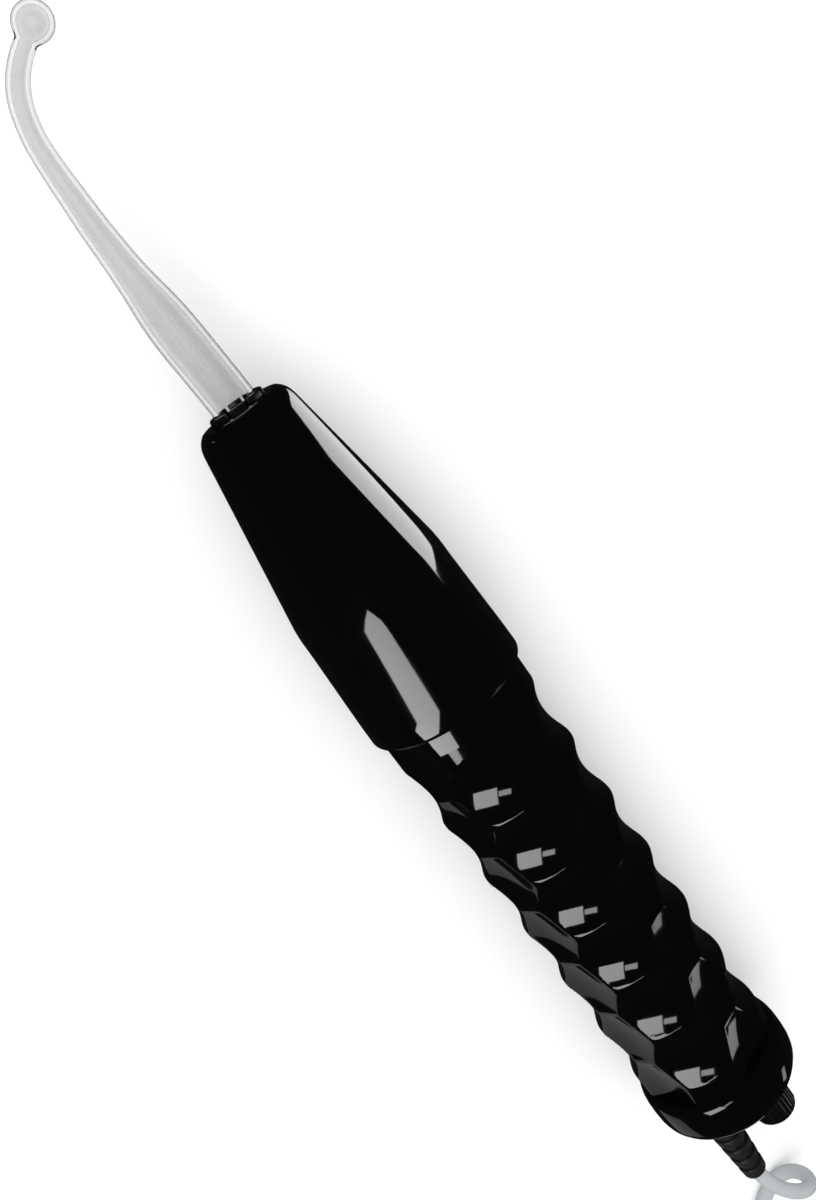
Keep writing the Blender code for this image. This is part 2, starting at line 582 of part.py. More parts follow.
# ---- cord boot, cord, coil and plug --------------------------------------------------------------
def make_boot():
    bore = CORD_R + CLEAR
    inside = CAP_INSIDE - CLEAR
    root = CAP_END + CLEAR
    outside = [(BOOT_END, BOOT_TIP_R)]
    step = (BOOT_END - root) / (BOOT_RIBS + 1)
    for rib in range(BOOT_RIBS, 0, -1):
        station = root + step * rib
        share = (station - root) / (BOOT_END - root)
        radius = BOOT_ROOT_R + (BOOT_TIP_R - BOOT_ROOT_R) * share
        outside += [(station + 0.8, radius), (station + 0.5, radius - RIB_GROOVE),
                    (station - 0.5, radius - RIB_GROOVE), (station - 0.8, radius)]
    turned("strain_relief", outside + [
        (root, BOOT_ROOT_R), (root, BOOT_NECK_R), (inside, BOOT_NECK_R), (inside, BOOT_FLANGE_R),
        (inside - 2.1, BOOT_FLANGE_R), (inside - 2.1, bore), (BOOT_END, bore),
    ], BLACK_SOFT, side=CORD_SIDE, steps=24)
    ring("cord_collar", inside - 5.6, inside - 2.1 - CLEAR, bore, BOOT_FLANGE_R - 0.3, BRASS, side=CORD_SIDE, steps=24)


def make_cord():
    spacing = 2.4 * CORD_R * MM
    tube("cord_lead", smooth_line([at(*p) for p in LEAD_ROUTE], spacing), CORD_R, CORD_GREY)
    tube("cord_tail", smooth_line([at(*p) for p in TAIL_ROUTE], spacing), CORD_R, CORD_GREY)
    middle, half, edge = COIL_R, COIL_HALF, COIL_EDGE
    mesh = bpy.data.meshes.new("cord_coil")
    shape = bmesh.new()
    outline = [
        (middle + half, half - edge), (middle + half, -half + edge), (middle + half - edge, -half),
        (middle - half + edge, -half), (middle - half, -half + edge), (middle - half, half - edge),
        (middle - half + edge, half), (middle + half - edge, half),
    ]
    corners = [shape.verts.new((radius * MM, 0.0, height * MM)) for radius, height in outline]
    for first, second in zip(corners, corners[1:] + corners[:1]):
        shape.edges.new((first, second))
    shape.to_mesh(mesh)
    shape.free()
    coil = bpy.data.objects.new("cord_coil", mesh)
    bpy.context.scene.collection.objects.link(coil)
    coil.location = at(COIL_STATION, COIL_SIDE, COIL_BASE + half - AXIS_HEIGHT)
    screw = coil.modifiers.new("turn", "SCREW")
    screw.steps = 40
    screw.render_steps = 40
    screw.use_merge_vertices = True
    screw.merge_threshold = 0.00001
    screw.use_smooth_shade = False
    keep(coil, "cord_coil", CORD_GREY)


def make_plug():
    rise = COIL_BASE + 2 * COIL_HALF + CLEAR + PLUG_T / 2 - AXIS_HEIGHT
    face = PLUG_BACK - PLUG_LEN
    plug = box("plug_body", (PLUG_STATION - PLUG_W / 2, PLUG_STATION + PLUG_W / 2), (face, PLUG_BACK),
               (rise - PLUG_T / 2, rise + PLUG_T / 2), CORD_GREY, bevel=PLUG_EDGE)
    for number, offset in enumerate((-BLADE_SPACING / 2, BLADE_SPACING / 2), 1):
        place = PLUG_STATION + offset
        slot = box(f"blade_slot_{number}", (place - BLADE_T / 2 - CLEAR, place + BLADE_T / 2 + CLEAR),
                   (face - 1, face + BLADE_SET), (rise - BLADE_W / 2 - CLEAR, rise + BLADE_W / 2 + CLEAR), None,
                   home=cutters)
        cut(plug, slot)
        box(f"plug_blade_{number}", (place - BLADE_T / 2, place + BLADE_T / 2),
            (face - BLADE_LEN, face + BLADE_SET - CLEAR), (rise - BLADE_W / 2, rise + BLADE_W / 2), BRASS)


make_nose()
make_grip()
make_cap()
make_collet()
contact_front = make_electrode() + CLEAR
make_socket(contact_front)
make_chassis(make_coil())
make_control()
make_boot()
make_cord()
make_plug()

# moving pieces hang from empties that stand on their joints' axes
for axis_name, side, riders in (
    ("collet_axis", 0.0, ("collet", "glass_tube", "ferrule")),
    ("knob_axis", KNOB_SIDE, ("knob", "knob_pointer", "knob_shaft")),
):
    pivot = bpy.data.objects.new(axis_name, None)
    pivot.location = at(0.0 if side == 0.0 else KNOB_FRONT, side)
    parts.objects.link(pivot)
    bpy.context.view_layer.update()
    for rider in riders:
        piece = bpy.data.objects[rider]
        placed = piece.matrix_world.copy()
        piece.parent = pivot
        piece.matrix_parent_inverse = pivot.matrix_world.inverted()
        piece.matrix_world = placed
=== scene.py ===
import math

import bmesh
import bpy
from mathutils import Matrix, Vector


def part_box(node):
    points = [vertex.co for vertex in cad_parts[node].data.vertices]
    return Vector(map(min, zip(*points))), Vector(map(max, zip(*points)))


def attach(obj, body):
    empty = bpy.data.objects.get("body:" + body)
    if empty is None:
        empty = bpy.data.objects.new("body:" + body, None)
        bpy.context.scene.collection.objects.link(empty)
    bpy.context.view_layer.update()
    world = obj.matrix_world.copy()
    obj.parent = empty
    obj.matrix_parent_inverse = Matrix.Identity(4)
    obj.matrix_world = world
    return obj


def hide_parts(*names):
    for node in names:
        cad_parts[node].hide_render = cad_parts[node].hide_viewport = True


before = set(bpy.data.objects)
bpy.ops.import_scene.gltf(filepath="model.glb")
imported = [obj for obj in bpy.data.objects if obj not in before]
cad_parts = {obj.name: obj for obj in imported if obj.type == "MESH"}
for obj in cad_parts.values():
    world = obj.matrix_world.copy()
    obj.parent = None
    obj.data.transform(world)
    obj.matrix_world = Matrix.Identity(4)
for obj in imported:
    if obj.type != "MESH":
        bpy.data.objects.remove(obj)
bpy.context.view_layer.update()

MM = 0.001

# ---- places taken from the frame -----------------------------------------------------------------
NOSE_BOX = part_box("nose_cone")
GRIP_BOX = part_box("grip_body")
CAP_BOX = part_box("rear_cap")
KNOB_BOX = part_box("knob")
COIL_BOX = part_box("cord_coil")
PLUG_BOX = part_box("plug_body")
BOOT_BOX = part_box("strain_relief")

NOSE_X = NOSE_BOX[1][0] / MM  # the nose's front face, in millimetres
AXIS_RISE = (NOSE_BOX[0][2] + NOSE_BOX[1][2]) / 2 / MM
SHELL_R = (NOSE_BOX[1][2] - NOSE_BOX[0][2]) / 2 / MM
NOSE_LEN = NOSE_X - NOSE_BOX[0][0] / MM
GRIP_END = NOSE_X - GRIP_BOX[0][0] / MM
CAP_END = NOSE_X - CAP_BOX[0][0] / MM
NUT_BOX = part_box("bushing_nut")
KNOB_SIDE = (NUT_BOX[0][1] + NUT_BOX[1][1]) / 2 / MM
KNOB_FRONT = NOSE_X - KNOB_BOX[1][0] / MM
KNOB_REAR = NOSE_X - KNOB_BOX[0][0] / MM
KNOB_R = (KNOB_BOX[1][2] - KNOB_BOX[0][2]) / 2 / MM
BOOT_SIDE = (BOOT_BOX[0][1] + BOOT_BOX[1][1]) / 2 / MM
BOOT_END = NOSE_X - BOOT_BOX[0][0] / MM
COIL_CENTRE = [(COIL_BOX[0][axis] + COIL_BOX[1][axis]) / 2 / MM for axis in range(3)]


def at(station, side=0.0, rise=0.0):
    """A point in metres, from its distance behind the nose, its side and its height above the axis."""
    return Vector(((NOSE_X - station) * MM, side * MM, (AXIS_RISE + rise) * MM))


# ---- camera --------------------------------------------------------------------------------------
CAMERA_FROM_NOSE = (-31.4048, -5.8818, 283.7781)  # station, side and height above the axis, in mm
CAMERA_FORWARD = Vector((-0.305254, 0.0, -0.952271))
CAMERA_UP = Vector((0.772883, -0.584184, -0.247751))
CAMERA_LENS = 37.5


def make_camera():
    data = bpy.data.cameras.new("camera")
    data.lens = CAMERA_LENS
    data.sensor_width = 36.0
    data.clip_start = 0.005
    data.clip_end = 20.0
    camera = bpy.data.objects.new("camera", data)
    bpy.context.scene.collection.objects.link(camera)
    back = -CAMERA_FORWARD.normalized()
    right = CAMERA_FORWARD.cross(CAMERA_UP).normalized()
    turn = Matrix((right, back.cross(right), back)).transposed().to_4x4()
    camera.matrix_world = Matrix.Translation(at(*CAMERA_FROM_NOSE)) @ turn
    bpy.context.scene.camera = camera


# ---- node tools ----------------------------------------------------------------------------------
def new_material(name):
    made = bpy.data.materials.new(name)
    made.use_nodes = True
    tree = made.node_tree
    return made, tree, tree.nodes["Principled BSDF"]


def add_node(tree, kind, inputs=None, **settings):
    node = tree.nodes.new(kind)
    for key, value in settings.items():
        setattr(node, key, value)
    for key, value in (inputs or {}).items():
        if isinstance(value, bpy.types.NodeSocket):
            tree.links.new(value, node.inputs[key])
        else:
            node.inputs[key].default_value = value
    return node


def blend_colours(tree, factor, first, second):
    """Mixes two colours, each a tuple or the output of another node."""
    mix = add_node(tree, "ShaderNodeMix", data_type="RGBA")
    tree.links.new(factor, mix.inputs["Factor"])
    for key, colour in (("A", first), ("B", second)):
        if isinstance(colour, bpy.types.NodeSocket):
            tree.links.new(colour, mix.inputs[key])
        else:
            mix.inputs[key].default_value = (*colour, 1.0)
    return mix.outputs["Result"]


def shaded_by(colour, share):
    """A colour made darker or lighter by a share, and no brighter than white."""
    return tuple(min(1.0, part * share) for part in colour)


def add_relief(tree, shader, height, distance, strength):
    relief = add_node(tree, "ShaderNodeBump", {"Height": height, "Distance": distance, "Strength": strength})
    tree.links.new(relief.outputs["Normal"], shader.inputs["Normal"])


def object_coords(tree):
    return add_node(tree, "ShaderNodeTexCoord").outputs["Object"]


def group_sockets(tree, inputs, outputs):
    for name, value in inputs:
        kind = "NodeSocketVector" if value is None else "NodeSocketFloat"
        socket = tree.interface.new_socket(name, in_out="INPUT", socket_type=kind)
        if value is not None:
            socket.default_value = value
    for name, kind in outputs:
        tree.interface.new_socket(name, in_out="OUTPUT", socket_type=kind)
    return tree.nodes.new("NodeGroupInput"), tree.nodes.new("NodeGroupOutput")


def make_gloss_wear():
    """Roughness and height of a polished moulding: fine handling scuffs and a faint ripple in the skin."""
    tree = bpy.data.node_groups.new("gloss_wear", "ShaderNodeTree")
    start, end = group_sockets(
        tree,
        [("Vector", None), ("Base Roughness", 0.06), ("Scuff", 0.05), ("Scale", 900.0)],
        [("Roughness", "NodeSocketFloat"), ("Height", "NodeSocketFloat"), ("Dust", "NodeSocketFloat")],
    )
    coords = start.outputs["Vector"]
    broad = add_node(tree, "ShaderNodeTexNoise", {"Vector": coords, "Scale": 55.0, "Detail": 3.0})
    patches = add_node(tree, "ShaderNodeMapRange", {0: broad.outputs["Fac"], 1: 0.45, 2: 0.75})
    fine = add_node(tree, "ShaderNodeTexNoise", {
        "Vector": coords, "Scale": start.outputs["Scale"], "Detail": 5.0, "Roughness": 0.65})
    scuffs = add_node(tree, "ShaderNodeMath", {0: patches.outputs[0], 1: fine.outputs["Fac"]},
                      operation="MULTIPLY")
    amount = add_node(tree, "ShaderNodeMath", {0: scuffs.outputs[0], 1: start.outputs["Scuff"]},
                      operation="MULTIPLY")
    rough = add_node(tree, "ShaderNodeMath", {0: amount.outputs[0], 1: start.outputs["Base Roughness"]})
    specks = add_node(tree, "ShaderNodeTexVoronoi", {"Vector": coords, "Scale": 420.0})
    speck = add_node(tree, "ShaderNodeMapRange", {0: specks.outputs["Distance"], 1: 0.10, 2: 0.02})
    dust = add_node(tree, "ShaderNodeMath", {0: speck.outputs[0], 1: patches.outputs[0]},
                    operation="MULTIPLY")
    tree.links.new(rough.outputs[0], end.inputs["Roughness"])
    tree.links.new(fine.outputs["Fac"], end.inputs["Height"])
    tree.links.new(dust.outputs[0], end.inputs["Dust"])
    return tree


def make_moulded_grain():
    """Colour factor and height of a fine matt moulding texture."""
    tree = bpy.data.node_groups.new("moulded_grain", "ShaderNodeTree")
    start, end = group_sockets(
        tree,
        [("Vector", None), ("Scale", 2600.0)],
        [("Factor", "NodeSocketFloat"), ("Height", "NodeSocketFloat")],
    )
    cells = add_node(tree, "ShaderNodeTexVoronoi", {
        "Vector": start.outputs["Vector"], "Scale": start.outputs["Scale"]}, feature="SMOOTH_F1")
    cloud = add_node(tree, "ShaderNodeTexNoise", {
        "Vector": start.outputs["Vector"], "Scale": 160.0, "Detail": 4.0})
    tree.links.new(cloud.outputs["Fac"], end.inputs["Factor"])
    tree.links.new(cells.outputs["Distance"], end.inputs["Height"])
    return tree


GLOSS_WEAR = make_gloss_wear()
MOULDED_GRAIN = make_moulded_grain()
DUST_GREY = (0.10, 0.10, 0.10)


def gloss_plastic(name, colour, roughness=0.05, scuff=0.06, dust=0.06, bump=0.00001):
    """A polished moulding with fine scuffs and a little dust."""
    made, tree, shader = new_material(name)
    wear = add_node(tree, "ShaderNodeGroup", node_tree=GLOSS_WEAR)
    tree.links.new(object_coords(tree), wear.inputs["Vector"])
    wear.inputs["Base Roughness"].default_value = roughness
    wear.inputs["Scuff"].default_value = scuff
    share = add_node(tree, "ShaderNodeMath", {0: wear.outputs["Dust"], 1: dust}, operation="MULTIPLY")
    tint = blend_colours(tree, share.outputs[0], colour, DUST_GREY)
    tree.links.new(tint, shader.inputs["Base Color"])
    tree.links.new(wear.outputs["Roughness"], shader.inputs["Roughness"])
    add_relief(tree, shader, wear.outputs["Height"], bump, 0.15)
    shader.inputs["IOR"].default_value = 1.53
    return made


def matt_material(name, colour, roughness=0.5, variation=0.25, bump=0.00002, scale=2600.0, sheen=0.0):
    """A moulded, cast or rubbed surface with fine grain."""
    made, tree, shader = new_material(name)
    grain = add_node(tree, "ShaderNodeGroup", node_tree=MOULDED_GRAIN)
    tree.links.new(object_coords(tree), grain.inputs["Vector"])
    grain.inputs["Scale"].default_value = scale
    tint = blend_colours(tree, grain.outputs["Factor"], shaded_by(colour, 1 - variation),
                         shaded_by(colour, 1 + variation))
    tree.links.new(tint, shader.inputs["Base Color"])
    spread = add_node(tree, "ShaderNodeMapRange", {
        0: grain.outputs["Factor"], 3: roughness * 0.85, 4: min(1.0, roughness * 1.15)})
    tree.links.new(spread.outputs[0], shader.inputs["Roughness"])
    add_relief(tree, shader, grain.outputs["Height"], bump, 0.4)
    shader.inputs["Sheen Weight"].default_value = sheen
    return made


def turned_metal(name, colour, roughness=0.25):
    """Metal with fine turning marks round the wand's direction."""
    made, tree, shader = new_material(name)
    place = add_node(tree, "ShaderNodeMapping", {
        "Vector": object_coords(tree), "Scale": (6000.0, 60.0, 60.0)})
    marks = add_node(tree, "ShaderNodeTexNoise", {"Vector": place.outputs[0], "Scale": 1.0, "Detail": 2.0})
    spread = add_node(tree, "ShaderNodeMapRange", {
        0: marks.outputs["Fac"], 3: roughness * 0.7, 4: roughness * 1.3})
    tint = blend_colours(tree, marks.outputs["Fac"], shaded_by(colour, 0.85), colour)
    tree.links.new(tint, shader.inputs["Base Color"])
    tree.links.new(spread.outputs[0], shader.inputs["Roughness"])
    add_relief(tree, shader, marks.outputs["Fac"], 0.00001, 0.3)
    shader.inputs["Metallic"].default_value = 1.0
    return made


def wound_wire(name, colour, wire):
    """Layers of enamelled wire, wound round the wand's direction, with painted shade darkening the grooves
    between the turns.
    """
    made, tree, shader = new_material(name)
    place = add_node(tree, "ShaderNodeMapping", {
        "Vector": object_coords(tree), "Scale": (1 / wire, 1.0, 1.0)})
    turns = add_node(tree, "ShaderNodeTexWave", {
        "Vector": place.outputs[0], "Scale": 0.16, "Distortion": 0.4}, wave_type="BANDS", bands_direction="X")
    # painted shade: each band darkens to 0.45 of the wire's colour in the groove between turns
    tint = blend_colours(tree, turns.outputs["Fac"], shaded_by(colour, 0.45), colour)
    tree.links.new(tint, shader.inputs["Base Color"])
    add_relief(tree, shader, turns.outputs["Fac"], 0.0002, 0.8)
    shader.inputs["Metallic"].default_value = 0.7
    shader.inputs["Roughness"].default_value = 0.28
    return made


def clear_glass(name):
    """Clear glass, faintly smoky, with painted shade that darkens its colour where it is seen along its wall.
    """
    made, tree, shader = new_material(name)
    smoke = add_node(tree, "ShaderNodeTexNoise", {
        "Vector": object_coords(tree), "Scale": 120.0, "Detail": 3.0})
    tint = blend_colours(tree, smoke.outputs["Fac"], (0.77, 0.78, 0.775), (0.84, 0.85, 0.845))
    # painted shade: the glass's colour goes to dark grey where its surface turns away from the view, at its
    # outlines
    facing = add_node(tree, "ShaderNodeLayerWeight", {"Blend": 0.5})
    depth = add_node(tree, "ShaderNodeMapRange", {
        0: facing.outputs["Facing"], 1: 0.45, 2: 1.0, 3: 0.0, 4: 1.0})
    shaded = blend_colours(tree, depth.outputs[0], tint, (0.16, 0.17, 0.17))
    tree.links.new(shaded, shader.inputs["Base Color"])
    haze = add_node(tree, "ShaderNodeMapRange", {0: smoke.outputs["Fac"], 3: 0.0, 4: 0.03})
    tree.links.new(haze.outputs[0], shader.inputs["Roughness"])
    shader.inputs["Transmission Weight"].default_value = 1.0
    shader.inputs["IOR"].default_value = 1.47
    return made


# ---- mesh tools ----------------------------------------------------------------------------------
SPIN_WELD = 0.005 * MM
GLASS_WELD = 0.002 * MM


def deselect_all():
    if bpy.context.object and bpy.context.object.mode != "OBJECT":
        bpy.ops.object.mode_set(mode="OBJECT")
    bpy.ops.object.select_all(action="DESELECT")


def make_active(obj):
    deselect_all()
    obj.select_set(True)
    bpy.context.view_layer.objects.active = obj


def apply_modifiers(obj):
    make_active(obj)
    for modifier in list(obj.modifiers):
        bpy.ops.object.modifier_apply(modifier=modifier.name)


def settle(obj):
    """Applies the object's place, so that it stands at the origin with its place in its mesh."""
    make_active(obj)
    bpy.ops.object.transform_apply(location=True, rotation=True, scale=True)


def shade(obj, angle=35.0):
    make_active(obj)
    bpy.ops.object.shade_smooth_by_angle(angle=math.radians(angle))


def weld(threshold):
    """In edit mode, merges points that lie together and turns every face outwards."""
    bpy.ops.mesh.select_all(action="SELECT")
    bpy.ops.mesh.remove_doubles(threshold=threshold)
    bpy.ops.mesh.normals_make_consistent(inside=False)
    bpy.ops.object.mode_set(mode="OBJECT")


def round_edges(obj, width, segments, angle=None):
    """Rounds the edges of a piece; with an angle, only the edges that turn by more than it."""
    edge = obj.modifiers.new("edge", "BEVEL")
    edge.width = width * MM
    edge.segments = segments
    if angle is not None:
        edge.limit_method = "ANGLE"
        edge.angle_limit = math.radians(angle)
    apply_modifiers(obj)


def add_block(centre, size, turn=0.0):
    """A block with its size in millimetres, turned about the wand's direction by an angle in degrees."""
    deselect_all()
    bpy.ops.mesh.primitive_cube_add(size=1.0, location=centre, rotation=(math.radians(turn), 0.0, 0.0))
    block = bpy.context.object
    block.scale = [side * MM for side in size]
    return block


def finish_piece(obj, name, made, body, replaced=()):
    """Gives a piece its name, material and body, and hides the frame's nodes that it replaces."""
    obj.name = name
    obj.data.name = name
    obj.data.materials.clear()
    obj.data.materials.append(made)
    settle(obj)
    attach(obj, body)
    if replaced:
        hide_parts(*replaced)
    return obj


def spun(name, profile, side=0.0, rise=0.0, steps=128, closed=True, angle=28.0):
    """Spins a profile of (station, radius) points about a line along the wand, and shades it."""
    deselect_all()
    mesh = bpy.data.meshes.new(name)
    shape = bmesh.new()
    corners = [shape.verts.new(at(station, side, rise + radius)) for station, radius in profile]
    for first, second in zip(corners, corners[1:]):
        shape.edges.new((first, second))
    if closed:
        shape.edges.new((corners[-1], corners[0]))
    shape.to_mesh(mesh)
    shape.free()
    obj = bpy.data.objects.new(name, mesh)
    bpy.context.scene.collection.objects.link(obj)
    make_active(obj)
    bpy.ops.object.mode_set(mode="EDIT")
    bpy.ops.mesh.select_all(action="SELECT")
    bpy.ops.mesh.spin(steps=steps, angle=2 * math.pi, center=at(0.0, side, rise), axis=(1.0, 0.0, 0.0))
    weld(SPIN_WELD)
    shade(obj, angle)
    return obj


def arc(centre_station, centre_radius, radius, start, end, steps):
    """Profile points on an arc, with angles in degrees from rearwards (0) to outwards (90)."""
    points = []
    for step in range(steps + 1):
        turn = math.radians(start + (end - start) * step / steps)
        points.append((centre_station + radius * math.cos(turn), centre_radius + radius * math.sin(turn)))
    return points


def smooth_line(points, spacing):
    """Points at even steps along a centripetal Catmull-Rom curve through the given points."""
    knots = [Vector(p) for p in points]
    knots = [2 * knots[0] - knots[1]] + knots + [2 * knots[-1] - knots[-2]]
    fine = []
    for p0, p1, p2, p3 in zip(knots, knots[1:], knots[2:], knots[3:]):
        t0 = 0.0
        t1 = t0 + math.sqrt((p1 - p0).length)
        t2 = t1 + math.sqrt((p2 - p1).length)
        t3 = t2 + math.sqrt((p3 - p2).length)
        for step in range(24):
            t = t1 + (t2 - t1) * step / 24
            a1 = p0 * ((t1 - t) / (t1 - t0)) + p1 * ((t - t0) / (t1 - t0))
            a2 = p1 * ((t2 - t) / (t2 - t1)) + p2 * ((t - t1) / (t2 - t1))
            a3 = p2 * ((t3 - t) / (t3 - t2)) + p3 * ((t - t2) / (t3 - t2))
            b1 = a1 * ((t2 - t) / (t2 - t0)) + a2 * ((t - t0) / (t2 - t0))
            b2 = a2 * ((t3 - t) / (t3 - t1)) + a3 * ((t - t1) / (t3 - t1))
            fine.append(b1 * ((t2 - t) / (t2 - t1)) + b2 * ((t - t1) / (t2 - t1)))
    fine.append(Vector(points[-1]))
    lengths = [0.0]
    for first, second in zip(fine, fine[1:]):
        lengths.append(lengths[-1] + (second - first).length)
    count = max(2, round(lengths[-1] / spacing))
    even, place = [], 0
    for step in range(count + 1):
        goal = lengths[-1] * step / count
        while place < len(lengths) - 2 and lengths[place + 1] < goal:
            place += 1
        share = (goal - lengths[place]) / (lengths[place + 1] - lengths[place])
        even.append(fine[place].lerp(fine[place + 1], min(1.0, share)))
    return even


def curve_tube(name, points, radius, resolution, radii=None, capped=True):
    """A round tube along a line of points, with one radius or one at each point."""
    line = bpy.data.curves.new(name, "CURVE")
    line.dimensions = "3D"
    line.bevel_depth = radius
    line.bevel_resolution = resolution
    line.use_fill_caps = capped
    run = line.splines.new("POLY")
    run.points.add(len(points) - 1)
    for place, point in enumerate(points):
        run.points[place].co = (*point, 1.0)
        run.points[place].radius = radii[place] / radius if radii else 1.0
    obj = bpy.data.objects.new(name, line)
    bpy.context.scene.collection.objects.link(obj)
    return obj


# ---- cord ----------------------------------------------------------------------------------------
CORD_D = 4.3 * MM
LEAD_ROUTE = [
    (236.0, 8.6, 0.0), (246.0, 8.6, 0.0), (253.0, 8.6, 0.0), (260.0, 8.6, 0.0), (267.0, 7.6, -0.1),
    (274.5, 4.8, -1.0), (281.0, 0.9, -3.6), (285.2, -1.7, -8.6), (286.6, -1.6, -13.6),
    (286.8, 1.3, -17.6), (287.4, 5.0, -19.1), (288.6, 8.6, -19.2), (290.9, 12.3, -19.2),
    (294.1, 15.6, -19.2), (297.1, 18.7, -19.2), (298.9, 22.4, -19.2),
]
TAIL_ROUTE = [
    (335.8, 49.9, -7.6), (341.6, 48.4, -5.2), (346.4, 45.6, -2.7), (349.9, 42.2, -1.0),
    (351.3, 39.0, -0.35), (351.4, 35.0, -0.25),
]
LEAD_SPACING = 1.6 * MM
TAIL_SPACING = 2.0 * MM
COIL_LIFT = 0.05 * MM
TURN_R = 11 * CORD_D / 2
LANES = [(1, 0), (1, 1), (0, 1), (0, 0), (-1, 0), (-1, 1), (-1, 2), (0, 2), (1, 2)]  # column out, layer up
TURN_POINTS = 32
COIL_START = 0.04  # turns past the side nearest the wand
COIL_FINISH = len(LANES) - 1 + 0.17
CHANGE_LEN = 0.16  # part of a turn in which the cord moves from one lane to the next
CHANGE_FIRST = 0.80
CHANGE_STEP = 0.08  # each change comes this much earlier in its turn than the one before
TIE_TURN = 0.72
TIE_SPREAD = 0.05  # part of a turn over which the tie draws the turns together
TIE_SQUEEZE = 0.12


def ease(share):
    share = min(1.0, max(0.0, share))
    return share * share * (3 - 2 * share)


def coil_point(turns):
    """The centreline of the coiled cord, after that many turns round the coil."""
    lane = min(int(turns), len(LANES) - 1)
    after = min(lane + 1, len(LANES) - 1)
    share = ease((turns - lane - CHANGE_FIRST + CHANGE_STEP * lane) / CHANGE_LEN)
    column = LANES[lane][0] + (LANES[after][0] - LANES[lane][0]) * share
    layer = LANES[lane][1] + (LANES[after][1] - LANES[lane][1]) * share
    round_way = (turns - TIE_TURN + 0.5) % 1.0 - 0.5
    grip = 1 - TIE_SQUEEZE * math.exp(-(round_way / TIE_SPREAD) ** 2)
    angle = 2 * math.pi * turns
    radius = TURN_R + column * CORD_D * grip
    height = CORD_D * 1.5 + COIL_LIFT + (layer - 1) * CORD_D * grip
    across, along = COIL_CENTRE[0] * MM, COIL_CENTRE[1] * MM
    return Vector((across + radius * math.cos(angle), along + radius * math.sin(angle), height))


def cord_line():
    """The cord's whole centreline, from its clamp round the coil to the plug."""
    lead = smooth_line([at(*p) for p in LEAD_ROUTE], LEAD_SPACING)
    coiled = COIL_FINISH - COIL_START
    steps = round(coiled * TURN_POINTS)
    coil = [coil_point(COIL_START + coiled * step / steps) for step in range(steps + 1)]
    tail = smooth_line([at(*p) for p in TAIL_ROUTE], TAIL_SPACING)
    joined = lead[:-1] + smooth_line([lead[-2], lead[-1], coil[0], coil[1]], TAIL_SPACING)[1:-1]
    joined += coil[1:-1]
    joined += smooth_line([coil[-2], coil[-1], tail[0], tail[1]], TAIL_SPACING)[1:-1]
    return joined + tail[1:]


def make_cord(sheath, strap):
    line = cord_line()
    cord = curve_tube("mains_cord", line, CORD_D / 2, resolution=6)
    cord.data.materials.append(sheath)
    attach(cord, "handle")
    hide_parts("cord_lead", "cord_coil", "cord_tail")
    tie = make_tie(strap)


def select_faces(obj, wanted):
    """Edit mode with only the faces that pass a test selected; the test gets a centre and a normal."""
    make_active(obj)
    bpy.ops.object.mode_set(mode="EDIT")
    bpy.ops.mesh.select_mode(type="FACE")
    bpy.ops.mesh.select_all(action="DESELECT")
    shape = bmesh.from_edit_mesh(obj.data)
    for face in shape.faces:
        face.select = wanted(face.calc_center_median(), face.normal)
    shape.select_flush_mode()
    bmesh.update_edit_mesh(obj.data)


def select_edges(obj, wanted):
    """Edit mode with only the edges that pass a test selected; the test gets both ends."""
    make_active(obj)
    bpy.ops.object.mode_set(mode="EDIT")
    bpy.ops.mesh.select_mode(type="EDGE")
    bpy.ops.mesh.select_all(action="DESELECT")
    shape = bmesh.from_edit_mesh(obj.data)
    for edge in shape.edges:
        edge.select = wanted(edge.verts[0].co, edge.verts[1].co)
    bmesh.update_edit_mesh(obj.data)


def make_tie(strap):
    """A flat strap pulled round the coil, its free end lapped over and pressed down."""
    half = (1.5 - TIE_SQUEEZE) * CORD_D + 0.3 * MM
    width, lap_len = 7 * MM, 8.6 * MM
    deselect_all()
    bpy.ops.mesh.primitive_cube_add(size=1.0)
    tie = bpy.context.object
    for vertex in tie.data.vertices:
        vertex.co = Vector((2 * half * vertex.co.x, width * vertex.co.y, 2 * half * vertex.co.z))
    select_faces(tie, lambda centre, normal: abs(normal.y) > 0.9)
    bpy.ops.mesh.delete(type="ONLY_FACE")
    select_edges(tie, lambda one, other: abs(one.y - other.y) > width / 2)
    bpy.ops.mesh.bevel(offset=2.0 * MM, segments=6)
    bpy.ops.object.mode_set(mode="OBJECT")
    bpy.ops.mesh.primitive_grid_add(x_subdivisions=10, y_subdivisions=2, size=1.0)
    lap = bpy.context.object
    for vertex in lap.data.vertices:
        along = vertex.co.x + 0.5
        lift = 0.75 * MM + 0.7 * MM * max(0.0, along - 0.75) ** 2 / 0.0625
        vertex.co = Vector((lap_len * (along - 0.42), width * vertex.co.y * 0.96, half + lift))
    deselect_all()
    lap.select_set(True)
    tie.select_set(True)
    bpy.context.view_layer.objects.active = tie
    bpy.ops.object.join()
    wall = tie.modifiers.new("cloth", "SOLIDIFY")
    wall.thickness = 0.6 * MM
    wall.offset = 0.0
    round_edges(tie, 0.15, 2)
    turn = Matrix.Rotation(2 * math.pi * TIE_TURN, 4, "Z")
    middle = Vector((COIL_CENTRE[0] * MM, COIL_CENTRE[1] * MM, CORD_D * 1.5 + COIL_LIFT))
    tie.data.transform(Matrix.Translation(middle) @ turn @ Matrix.Translation((TURN_R, 0.0, 0.0)))
    shade(tie, 40)
    return finish_piece(tie, "cord_tie", strap, "handle")


